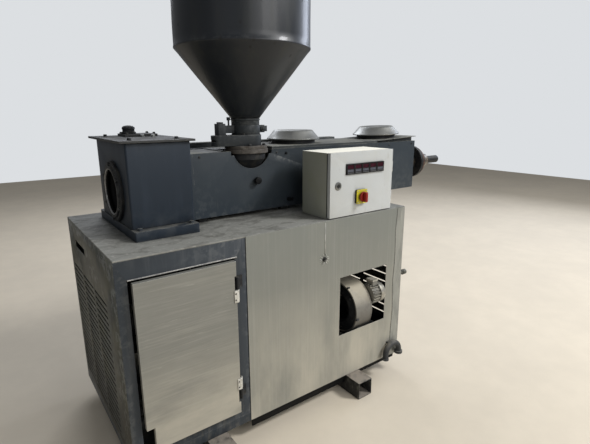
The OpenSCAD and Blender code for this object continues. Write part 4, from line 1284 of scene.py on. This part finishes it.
@dataclass
class Blower:
    """Radial blower with its finned motor."""

    x: float = 1112
    width: float = 112
    y: float = 128
    z: float = 410
    radius: float = 138
    outlet: Pair = (178, 88)
    lugs: tuple[float, ...] = (40, 118, 190, 262, 335)
    shaft: Pair = (34, 482)
    motor: float = 56
    body: float = 56
    fins: int = 20
    end: float = 1314

    def build(self, shop: Workshop) -> None:
        """Builds the scroll with its outlet, the inlet face and the lugs.

        Args:
            shop: where the pieces are made.
        """
        r, w, at = self.radius, self.width, (self.x, self.y, self.z)
        drum = Shape().turned(Axis.X, at, [
            (r * 0.93, 7), (r * 0.93, 1), (r - 3, 0), (r - 0.8, 1.2), (r, 3.5), (r - 0.5, 7), (r - 2, 9),
            (r - 2, w - 9), (r - 0.5, w - 7), (r, w - 3.5), (r - 0.8, w - 1.2), (r - 3, w), (0, w)], 72)
        long, high = self.outlet
        drum.block((self.x + 8, self.y + 10, self.z + r - high - 2), (w - 16, long, high))
        shop.add("scroll_drum", drum, BLOWER_CAST, bevel=1.5, stands_for=("blower_scroll",))
        face = Shape().turned(Axis.X, at, [
            (r * 0.94, 4), (r * 0.9, 3), (r * 0.66, 3), (r * 0.62, 0.5), (r * 0.57, 0.5), (r * 0.53, 3),
            (r * 0.51, 9), (r * 0.5, w - 16), (0, w - 16)], 64)
        face.bolt_circle(Axis.X, (self.x + 3, self.y, self.z), r * 0.8, 9, 6, 20, -1)
        shop.add("scroll_inlet_face", face, INLET_BLACK, bevel=0.4)
        tabs = Shape()
        for angle in self.lugs:
            tabs.rod(Axis.X, Axis.X.around((self.x - 1, self.y, self.z), r + 2, angle), 5, 16, 16)
        shop.add("scroll_lugs", tabs, INLET_BLACK, bevel=0.8)
        self.motor_case(shop)
        self.cowl(shop)
        self.terminals(shop)

    def motor_case(self, shop: Workshop) -> None:
        """Builds the motor's flange and its body with a ring of tapered fins.

        Args:
            shop: where the pieces are made.
        """
        x0, at, r = self.x + self.width, Vector((0, *self.shaft)), self.motor
        core = Shape().rod(Axis.X, at + Vector((x0, 30, -24)), r * 0.94, 6, 48)
        core.rod(Axis.X, at + Vector((x0 + 4, 0, 0)), r * 0.82, self.body - 4, 48)
        low, high = r * 0.76, r * 0.97
        fin = [(x, y, z) for x in (x0 + 5, x0 + self.body + 1)
               for y, z in ((-2.2, low), (2.2, low), (1.4, high), (-1.4, high))]
        for i in range(self.fins):
            turn = Matrix.Rotation(2 * math.pi * i / self.fins, 4, "X")
            core.hexahedron([turn @ Vector(spot) + at for spot in fin])
        shop.add("motor_body", core, MOTOR_ENAMEL, bevel=0.3, stands_for=("blower_motor",))

    def cowl(self, shop: Workshop) -> None:
        """Builds the fan cowl with the rings of its grille.

        Args:
            shop: where the pieces are made.
        """
        at, r, end = (0, *self.shaft), self.motor, self.end
        start = self.x + self.width + self.body - 2
        cowl = Shape().turned(Axis.X, at, [
            (r * 0.8, start), (r - 1.4, start), (r, start + 1.5), (r, start + 5), (r - 1.5, start + 7),
            (r - 1.5, end - 9), (r - 5, end - 2.5), (r - 11, end), (r * 0.62, end), (r * 0.62, end - 2),
            (0, end - 2)], 48)
        for radius in (9, 18, 27):
            wire = rectangle(radius, 0, radius + 4.5, 1.6)
            cowl.turned(Axis.X, (end - 1.5, *self.shaft), wire, 40, closed=True)
        cowl.bolt_circle(Axis.X, (end - 5, *self.shaft), r - 7, 6, 4, 45)
        shop.add("motor_cowl", cowl, COWL_STEEL, bevel=0.4)

    def terminals(self, shop: Workshop) -> None:
        """Builds the terminal box on the motor and its lid.

        Args:
            shop: where the pieces are made.
        """
        x0, y, z = self.x + self.width, self.shaft[0], self.shaft[1] + self.motor * 0.7
        box = Shape().block((x0 + 18, y - 22, z), (36, 46, 31))
        shop.add("terminal_box", box, MOTOR_ENAMEL, bevel=2.5, segments=3)
        lid = Shape().block((x0 + 16.5, y - 23.5, z + 31), (39, 49, 8))
        for dy, dx in product((-18, 20), (21, 51)):
            lid.bolt(Axis.Z, (x0 + dx, y + dy, z + 38.5), 5)
        shop.add("terminal_lid", lid, TERMINAL_LID, bevel=2.0, segments=3)


@dataclass
class Gearbox:
    """Cast gear case on its foot, with a plate lid and the open rear bearing bore."""

    x: float = 131
    length: float = 252
    y: float = 210
    depth: float = 430
    top: float = 1289
    axis: Pair = (400, 1089)
    lid_t: float = 8.8
    # How far the lid stands out to the left and right, and to the front and rear.
    overhang: tuple[Pair, Pair] = ((22, 18), (14, 46))
    # The depth of its chips and how far apart they lie, and how many points each side has.
    chip: Pair = (2.2, 31)
    chips: int = 8
    hatch: tuple[Point, Point] = ((215, 490, 1297.8), (138, 118, 11))
    nuts: tuple[tuple[float, float, float], ...] = ((281, 472, 15), (317, 446, 17))
    filler: Pair = (247, 550)

    def build(self, shop: Workshop) -> None:
        """Dresses the case and builds its bearing and its lid.

        Args:
            shop: where the pieces are made.
        """
        shop.keep("gear_case", GEAR_ENAMEL, 5.0, 4)
        shop.keep("gear_foot", GEAR_ENAMEL, 4.0, 3)
        self.bearing(shop)
        shop.add("lid_plate", Shape().plate(Axis.Z, self.top + 0.2, 8.6, self.lid_outline()), LID_STEEL,
                 bevel=1.4, stands_for=("gear_lid",))
        self.lid_parts(shop)

    def bearing(self, shop: Workshop) -> None:
        """Builds the bolted ring, the bright lip, and the near-black cap and liner, which paint the shade
        deep in the rear bore.

        Args:
            shop: where the pieces are made.
        """
        at = (self.x, *self.axis)
        outer = Shape().turned(Axis.X, at, [
            (92, 0), (92, -18), (94, -20), (104, -20), (106, -18), (107, -14), (118, -14), (122, -10),
            (122, 0)], 96, closed=True)
        outer.bolt_circle(Axis.X, (self.x - 13, *self.axis), 112, 12, 6, 30, -1)
        shop.add("bearing_ring", outer, OILY_STEEL, bevel=0.8, stands_for=("gear_ring",))
        lip = Shape().turned(Axis.X, at, [(90, -13), (90, -17), (91, -18.5), (93.5, -18.5), (94, -16)], 96)
        shop.add("bearing_lip", lip, BARE_LIP, bevel=0)
        # The cap and the liner are near-black: painted shade deep in the bore.
        hub = Shape().turned(Axis.X, at, [
            (95, 44), (70, 44), (66, 40), (62, 40), (60, 44), (44, 44), (42, 22), (38, 18), (24, 18),
            (22, 26), (0, 26)], 64)
        hub.bolt(Axis.X, (self.x + 27, *self.axis), 24, -1)
        shop.add("bearing_cap", hub, SHADE_BLACK_STEEL, bevel=0.8)
        liner = Shape()
        for sleeve in (rectangle(94.2, 1, 95.7, 58), rectangle(90.2, -14, 91.9, 1)):
            liner.turned(Axis.X, at, sleeve, 96, closed=True)
        shop.add("bearing_shade_liner", liner, SHADE_BLACK_STEEL, bevel=0)

    def lid_outline(self) -> list[Pair]:
        """Gives points round the flame-cut lid plate, its edges a little chipped.

        Returns:
            The points, in order.
        """
        ((left, right), (front, rear)), (deep, apart), n = self.overhang, self.chip, self.chips
        x0, x1 = self.x - left, self.x + self.length + right
        y0, y1 = self.y - front, self.y + self.depth + rear
        corners = ((x0, y0), (x1, y0), (x1, y1), (x0, y1), (x0, y0))
        outline = []
        for (xa, ya), (xb, yb) in zip(corners, corners[1:]):
            for t in (i / n for i in range(n)):
                x, y = xa + t * (xb - xa), ya + t * (yb - ya)
                chip = deep * max(0.0, noise.noise(Vector((x, y, 3)) / apart))
                outline.append((x + chip * (1 if xa == x0 else -1), y + chip * (1 if ya == y0 else -1)))
        return outline

    def lid_parts(self, shop: Workshop) -> None:
        """Builds the lid's bolts, the inspection hatch, the loose nuts and the breather cap.

        Args:
            shop: where the pieces are made.
        """
        seat = self.top + self.lid_t
        bolts = Shape()
        x2, y2 = self.x + self.length, self.y + self.depth
        for x, y in product((self.x + 30, x2 - 40), (self.y + 40, y2 - 40)):
            bolts.bolt(Axis.Z, (x, y, seat), 14)
        shop.add("lid_bolts", bolts, OILY_STEEL, bevel=0.5)
        hatch = Shape().block(*self.hatch)
        for x, y in product((self.x + 96, self.x + 210), (self.y + 292, self.y + 386)):
            hatch.bolt(Axis.Z, (x, y, seat + 11), 11)
        shop.add("lid_hatch", hatch, LID_STEEL, bevel=1.6)
        nuts = Shape()
        for x, y, across in self.nuts:
            nuts.bolt(Axis.Z, (x, y, seat), across)
        shop.add("lid_nuts", nuts, ZINC, bevel=0.5)
        dome = Shape().turned(Axis.Z, (*self.filler, self.top + 8), [
            (20, 2), (20, 12), (30, 12), (31, 18), (25, 22), (25, 30), (27, 33), (26, 40), (19, 45), (9, 47),
            (0, 47.5)], 40)
        shop.add("breather_cap", dome, OILY_STEEL, bevel=0.6, stands_for=("gear_breather",))


@dataclass
class BarrelCover:
    """Long sheet cover over the heated barrel with its lids and vent hats."""

    x: float = 384
    length: float = 1476
    y: float = 292
    width: float = 308
    z: float = 948
    height: float = 282
    lid: float = 13
    end_x: float = 1535
    rise: float = 15
    hat_rim: float = 138
    hat_foot: float = 114
    hats: Pair = (1057, 1680)
    loose_sheet: Point = (187, 252, 1.6)
    screw_ends: Pair = (70, 30)
    screw_pitch: float = 190
    throat_x: float = 712
    throat_room: float = 130

    def build(self, shop: Workshop) -> None:
        """Dresses the cover and its lids and builds its hats, its top sheet and its screws.

        Args:
            shop: where the pieces are made.
        """
        shop.keep("barrel_cover", COVER_ENAMEL, 1.4, 3)
        for name in ("cover_lid", "end_lid", "rear_duct"):
            shop.keep(name, LID_ENAMEL, 1.2, 3)
        shop.keep("cover_feet", OILY_STEEL, 0.8)
        shop.keep("cover_knobs", PHENOLIC, 1.0)
        top = self.z + self.height
        slope = math.atan(self.rise / (self.x + self.length - self.end_x + 9))
        left, right = self.hats
        self.hat(shop, "vent_hat_left", left, top + self.lid, 0.0)
        self.hat(shop, "vent_hat_right", right,
                 top + self.lid + (right - self.end_x) * math.tan(slope) + 0.3, slope)
        sheet = Shape().block((self.x + 38, self.y + 10, top - 5), self.loose_sheet)
        shop.add("cover_top_sheet", sheet, LID_ENAMEL, bevel=0.4)
        screws, (first, last) = Shape(), self.screw_ends
        for x in lines(self.x + first, self.x + self.length - last, self.screw_pitch):
            if abs(x - self.throat_x) > self.throat_room:
                screws.turned(Axis.Y, (x, self.y, top - 16), COVER_SCREW, 14)
        shop.add("cover_screws", screws, OILY_STEEL, bevel=0)

    def hat(self, shop: Workshop, name: str, x: float, z: float, tilt: float) -> None:
        """Builds one spun cap over its collar, whose near-black oily steel paints the shade under the cap.

        Args:
            shop: where it is made.
            name: the frame's node that it stands for.
            x: its middle.
            z: the height that its collar stands on.
            tilt: how far it leans, in radians.
        """
        r, foot = self.hat_rim, self.hat_foot
        collar = [(foot - 13, 0), (foot, 0), (foot, 19.6), (r - 3, 20.2), (r - 3, 21.6), (foot - 13, 22)]
        cap = [(r - 3, 20.4), (r - 0.8, 20), (r, 21.5), (r, 25), (r - 1.4, 26.6), (r - 8, 31), (r - 33, 60),
               (r - 37, 64.4), (r - 42, 66), (60, 66), (56, 65.4), (0, 65.4)]
        place = Matrix.Translation((x, self.y + self.width / 2, z)) @ Matrix.Rotation(-tilt, 4, "Y")
        # The collar's near-black finish is painted shade under the cap's rim.
        for part, profile, finish in (("collar", collar, OILY_STEEL), ("cap", cap, HAT_STAINLESS)):
            form = Shape().turned(Axis.Z, (0, 0, 0), profile, 96, closed=part == "collar")
            bmesh.ops.transform(form.mesh, matrix=place, verts=form.mesh.verts)
            shop.add(f"{name}_{part}", form, finish, bevel=0.3, stands_for=(name,))


@dataclass
class Barrel:
    """Barrel with its band heaters and the die at its end."""

    axis: Pair = (400, 1089)
    flange: float = 1950.3
    die_x: float = 1994.9
    total: float = 2230

    def build(self, shop: Workshop) -> None:
        """Dresses the barrel and builds the die flange and the die.

        Args:
            shop: where the pieces are made.
        """
        shop.keep("barrel", BARREL_STEEL, 1.0)
        shop.keep("heater_bands", BAND_STEEL, 1.0)
        at = (self.flange, *self.axis)
        rear = Shape().turned(Axis.X, at, [
            (28, 0), (97, 0), (100, 2.5), (100, 21.5), (97, 24), (28, 24)], 72, closed=True)
        shop.add("die_rear_flange", rear, OILY_STEEL, bevel=0.5, stands_for=("die_flange",))
        front = Shape().turned(Axis.X, at, [
            (28, 24.5), (90, 24.5), (92, 26.5), (92, 42), (90, 44.3), (56, 44.3), (54, 42), (28, 42)], 72,
            closed=True)
        shop.add("die_front_flange", front, HOT_OXIDE, bevel=0.6, stands_for=("die_flange",))
        bolts = Shape().bolt_circle(Axis.X, (self.flange + 43.6, *self.axis), 76, 15, 8, 22.5)
        shop.add("die_flange_bolts", bolts, OILY_STEEL, bevel=0.5)
        self.die(shop)

    def die(self, shop: Workshop) -> None:
        """Builds the adaptor, the heated body and the nozzle with its set screw.

        Args:
            shop: where the pieces are made.
        """
        x, (y, z), end = self.die_x, self.axis, self.total - self.die_x
        body = Shape().turned(Axis.X, (x, y, z), [
            (14, 0), (42, 0), (44, 2), (44, 22), (58, 22.5), (60, 25), (60, 45), (58, 48), (36, 48),
            (36, 105), (34, 107), (24, 108), (24, end - 3), (21, end), (14, end)], 64, closed=True)
        shop.add("die_body", body, OILY_STEEL, bevel=0.6, stands_for=("die_head",))
        band = Shape().turned(Axis.X, (x + 52, y, z), rectangle(36, 0, 41, 48), 56, closed=True)
        band.block((x + 60, y - 46, z - 9), (32, 12, 18))
        shop.add("die_band_heater", band, BAND_STEEL, bevel=0.8)
        screw = Shape().rod(Axis.Z, (x + 77, y, z - 58), 9, 24, 20)
        screw.turned(Axis.Z, (x + 77, y, z - 66), [(0, 0), (12, 0), (15, 2), (15, 10), (12, 12), (0, 12)], 6)
        shop.add("die_set_screw", screw, OILY_STEEL, bevel=0.6)


@dataclass
class FeedThroat:
    """Feed block, flange, slide gate and neck under the hopper."""

    x: float = 712
    y: float = 345
    flange_z: float = 1218
    flange: float = 101
    flange_t: float = 34
    flange_bolts: float = 86
    gate_top: float = 1299
    gate_bolts: tuple[Pair, ...] = ((-112, -12), (-40, -52), (44, -44), (-112, 14))
    neck: float = 64
    neck_h: float = 71

    def build(self, shop: Workshop) -> None:
        """Builds the stack of throat parts.

        Args:
            shop: where the pieces are made.
        """
        shop.keep("feed_block", OILY_STEEL, 3.0, 3)
        r, t, bore, step = self.flange, self.flange_t, self.neck - 18, self.flange_t * 0.55
        flange = Shape().turned(Axis.Z, (self.x, self.y, self.flange_z), [
            (bore, 0), (r - 2, 0), (r, 2), (r, step - 2), (r - 1.5, step), (r - 4, step + 0.5),
            (r - 3, step + 3), (r - 3, t - 2), (r - 5, t), (bore, t)], 80, closed=True)
        shop.add("feed_flange_ring", flange, RUST_FLANGE, bevel=0.6, stands_for=("feed_flange",))
        seat = (self.x, self.y, self.flange_z + t)
        bolts = Shape().bolt_circle(Axis.Z, seat, self.flange_bolts, 13, 6, 12)
        shop.add("feed_flange_bolts", bolts, OILY_STEEL, bevel=0.5)
        shop.keep("gate_block", THROAT_ENAMEL, 4.0, 4)
        shop.keep("gate_arm", THROAT_ENAMEL, 2.5, 3)
        n, h = self.neck, self.neck_h
        tube = Shape().turned(Axis.Z, (self.x, self.y, self.gate_top), [
            (n - 4, 0), (n, 0), (n, h - 9), (n + 1, h - 7), (n + 3, h - 5), (n + 3, h - 1), (n + 2, h),
            (n - 4, h)], 72, closed=True)
        shop.add("neck_tube", tube, THROAT_ENAMEL, bevel=0.4, stands_for=("throat_neck",))
        heads = Shape()
        for dx, dy in self.gate_bolts:
            heads.bolt(Axis.Z, (self.x + dx, self.y + dy, self.gate_top), 11)
        shop.add("gate_bolts", heads, OILY_STEEL, bevel=0.4)


@dataclass
class Hopper:
    """Welded hopper with its lid."""

    x: float = 712
    y: float = 345
    z: float = 1370
    neck: float = 64
    radius: float = 296
    cone: float = 293
    wall: float = 3
    height: float = 611
    rim: float = 14
    dent: float = 1.6
    seam: Pair = (-0.42, 0.912)
    seam_bead: float = 3

    def build(self, shop: Workshop) -> None:
        """Builds the hopper's shell with its seam, and dresses its lid.

        Args:
            shop: where the pieces are made.
        """
        n, r, c, h, t = self.neck, self.radius, self.cone, self.height, self.wall
        slant = [(n + (r - n) * i / 14, c * i / 14) for i in range(1, 14)]
        side = [(r, c + (h - self.rim - c) * i / 8) for i in range(1, 8)]
        shell = Shape().turned(Axis.Z, (self.x, self.y, self.z), [
            (n - 4, 0), (n, 0), *slant, (r, c - 2), (r + 1.4, c), (r + 1.4, c + 5), (r, c + 7), *side,
            (r, h - self.rim), (r + 5, h - 13), (r + 8, h - 9), (r + 8, h - 4), (r + 5, h), (r - t, h),
            (r - t, c + 1), (n - 4, 4)], 96, closed=True, wobble=self.dent)
        shop.add("hopper_shell", shell, HOPPER_ENAMEL, bevel=0, stands_for=("hopper", "hopper_wall"))
        x, y, foot = self.x + r * self.seam[0], self.y + r * self.seam[1], self.z + c + 8
        weld = [(x, y, foot + (h - c - 24) * i / 48) for i in range(49)]
        shop.add("hopper_seam_weld", Shape().tube(weld, self.seam_bead, 8), HOPPER_ENAMEL, bevel=0)
        shop.keep("hopper_lid", HOPPER_ENAMEL, 1.5)


@dataclass
class ControlBox:
    """Wall enclosure with five controllers, a lock and the main switch."""

    x: float = 931
    width: float = 400
    z: float = 928
    height: float = 296
    depth: float = 200
    gap: float = 5
    panel_x: float = 1022
    panel_z: float = 1123.36
    module: float = 48
    count: int = 5
    windows: tuple[Pair, Pair] = ((25, 43), (11.5, 23))
    key: Point = (6.6, 2.4, 4.4)
    keys: int = 4
    key_pitch: float = 9.4
    lock: Pair = (978, 1076)
    knob: Pair = (1117, 1016.8)
    plate: Pair = (332, 236)
    rail: Point = (284, 7.2, 35)
    rails: Pair = (52, 164)
    relay: Point = (44, 66, 76)
    relay_face: Point = (32, 10, 40)
    relays: int = 5
    relay_pitch: float = 56
    terminal: Point = (11, 34, 44)
    terminals: int = 22
    terminal_pitch: float = 12.4

    def build(self, shop: Workshop) -> None:
        """Builds the enclosure and what is let into its door.

        Args:
            shop: where the pieces are made.
        """
        shop.keep("box_body", BOX_SHELL_LIT_AND_SHADED, 2.4, 3)
        shop.keep("box_door", POWDER_COAT, 2.6, 4)
        shop.keep("box_hinges", HINGE_ZINC, 0.6)
        x0, x1 = self.x - 0.5, self.x + self.width + 0.5
        z0, z1 = self.z + self.gap + 4, self.z + self.height - 4
        # The seal is wide so that its black also paints the shade in the gap round the door.
        seal = Shape().plate(Axis.Y, 18.5, 6.0, rectangle(x0, z0, x1, z1),
                             [rectangle(x0 + 9, z0 + 9, x1 - 9, z1 - 9)])
        shop.add("door_seal", seal, SEAL_RUBBER, "panel_door", 0.8)
        self.controllers(shop)
        self.door_lock(shop)
        self.switch(shop)
        self.inside(shop)

    def door_lock(self, shop: Workshop) -> None:
        """Builds the round rosette of the door's lock and the slotted insert in it.

        Args:
            shop: where the pieces are made.
        """
        x, z = self.lock
        lock = Shape().turned(Axis.Y, (x, 0, z), [
            (0, 12), (8, 12), (8, 0.4), (19, 0.4), (19, -1.2), (17, -3.4), (10.5, -4.6), (9.5, -3.4),
            (0, -3.4)], 40)
        shop.add("lock_rosette", lock, LOCK_CHROME, "panel_door", 0.4, stands_for=("box_lock",))
        slot = Shape().turned(Axis.Y, (x, 0, z), [(7.8, -3), (7.8, -6.6), (6.6, -7.8), (0, -7.8)], 28)
        slot.block((x - 1, -8.0, z - 4), (2, 1.5, 8))
        shop.add("lock_insert", slot, OILY_STEEL, "panel_door", 0.3)

    def inside(self, shop: Workshop) -> None:
        """Builds the mounting plate at the back of the enclosure with its relays and terminals.

        Args:
            shop: where the pieces are made.
        """
        x0, z0, back = self.x + 34, self.z + 30, self.depth - 12
        wide, high = self.plate
        plate = Shape().plate(Axis.Y, back, 2.0, rounded(x0, z0, x0 + wide, z0 + high, 6, 3))
        for x, z in product((x0 + 12, x0 + wide - 12), (z0 + 12, z0 + high - 12)):
            plate.bolt(Axis.Y, (x, back, z), 9, -1)
        for z in self.rails:
            plate.block((x0 + 24, back - 7, z0 + z - self.rail[2] / 2), self.rail)
        shop.add("box_mounting_plate", plate, ZINC, bevel=0.5)
        relays, terminals = Shape(), Shape()
        for i in range(self.relays):
            x = x0 + 30 + i * self.relay_pitch
            relays.block((x, back - 72, z0 + 128), self.relay)
            relays.block((x + 6, back - 80, z0 + 146), self.relay_face)
        for i in range(self.terminals):
            terminals.block((x0 + 30 + i * self.terminal_pitch, back - 40, z0 + 32), self.terminal)
        shop.add("box_relays", relays, BLACK_ABS, bevel=1.4)
        shop.add("box_terminals", terminals, GREY_KEYS, bevel=0.9)

    def controllers(self, shop: Workshop) -> None:
        """Builds the row of square controllers with their windows and keys.

        Args:
            shop: where the pieces are made.
        """
        s, z = self.module, self.panel_z
        bezels, red, grey, keys = Shape(), Shape(), Shape(), Shape()
        for i in range(self.count):
            x = self.panel_x + 2 + i * s
            outline = rounded(x + 0.4, z + 0.6, x + s - 0.4, z + s - 0.6, 2.2, 3)
            holes = [rounded(x + 4.5, z + low, x + s - 4.5, z + high, 1.0, 2)
                     for low, high in self.windows]
            bezels.plate(Axis.Y, -6.8, 6.4, outline, holes)
            red.block((x + 3.5, -4.6, z + 24), (s - 7, 2, 20))
            grey.block((x + 3.5, -5.0, z + 10.5), (s - 7, 2, 13.5))
            for k in range(self.keys):
                keys.block((x + 6 + k * self.key_pitch, -7.6, z + 4), self.key)
        back = Shape().block((self.panel_x + 0.5, -3, z + 0.5), (self.count * s + 3, 14, s - 1))
        shop.add("controller_backs", back, BLACK_ABS, "panel_door", 0.6, stands_for=("controllers",))
        shop.add("controller_bezels", bezels, BLACK_ABS, "panel_door", 0.7)
        shop.add("controller_red_windows", red, RED_WINDOW, "panel_door", 0.4)
        shop.add("controller_grey_windows", grey, GREY_WINDOW, "panel_door", 0.4)
        shop.add("controller_keys", keys, GREY_KEYS, "panel_door", 0.8)

    def switch(self, shop: Workshop) -> None:
        """Builds the yellow plate on its black box and the red handle of the main switch.

        Args:
            shop: where the pieces are made.
        """
        x, z = self.knob
        hole = [ring(x, z, 5.2, 24)]
        for name, half, y, depth, finish, bevel, segments in (
                ("switch_base", 33, -13.9, 4.4, YELLOW_PLATE, 1.2, 3),
                ("switch_box", 32, -9.4, 9.3, BLACK_ABS, 0.6, 2)):
            outline = rounded(x - half, z - half, x + half, z + half, 5, 4)
            form = Shape().plate(Axis.Y, y, depth, outline, hole)
            shop.add(name, form, finish, "panel_door", bevel, segments, ("switch_plate",))
        heads = Shape()
        for dx, dz in product((-26, 26), (-26, 26)):
            heads.turned(Axis.Y, (x + dx, -13.6, z + dz), [(3.2, 0), (3.2, -1.2), (2, -1.8), (0, -1.8)], 12)
        shop.add("switch_screws", heads, ZINC, "panel_door", 0)
        handle = Shape().turned(Axis.Y, (x, 0, z), [
            (0, 12), (5, 12), (5, -19), (22, -19), (24, -21), (24, -26), (22.5, -28), (17, -29),
            (0, -29)], 48)
        shop.add("switch_handle", handle, RED_HANDLE, "main_switch", 0.6, stands_for=("switch_knob",))
        grip = Shape().block((x - 8, -46.5, z - 23.5), (16, 19, 47))
        shop.add("switch_grip", grip, RED_HANDLE, "main_switch", 4.5, 4)


def main() -> None:
    logging.basicConfig(level=logging.INFO, format="%(message)s")
    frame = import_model()
    bpy.context.scene.view_settings.view_transform = "Standard"
    studio = Studio()
    studio.camera()
    studio.light()
    studio.floor()
    shop = Workshop(frame["nodes"])
    for assembly in (Cabinet, FrontDoor, FrontSheet, Blower, Gearbox, BarrelCover, Barrel, FeedThroat,
                     Hopper, ControlBox):
        assembly().build(shop)


if __name__ == "__main__":
    main()
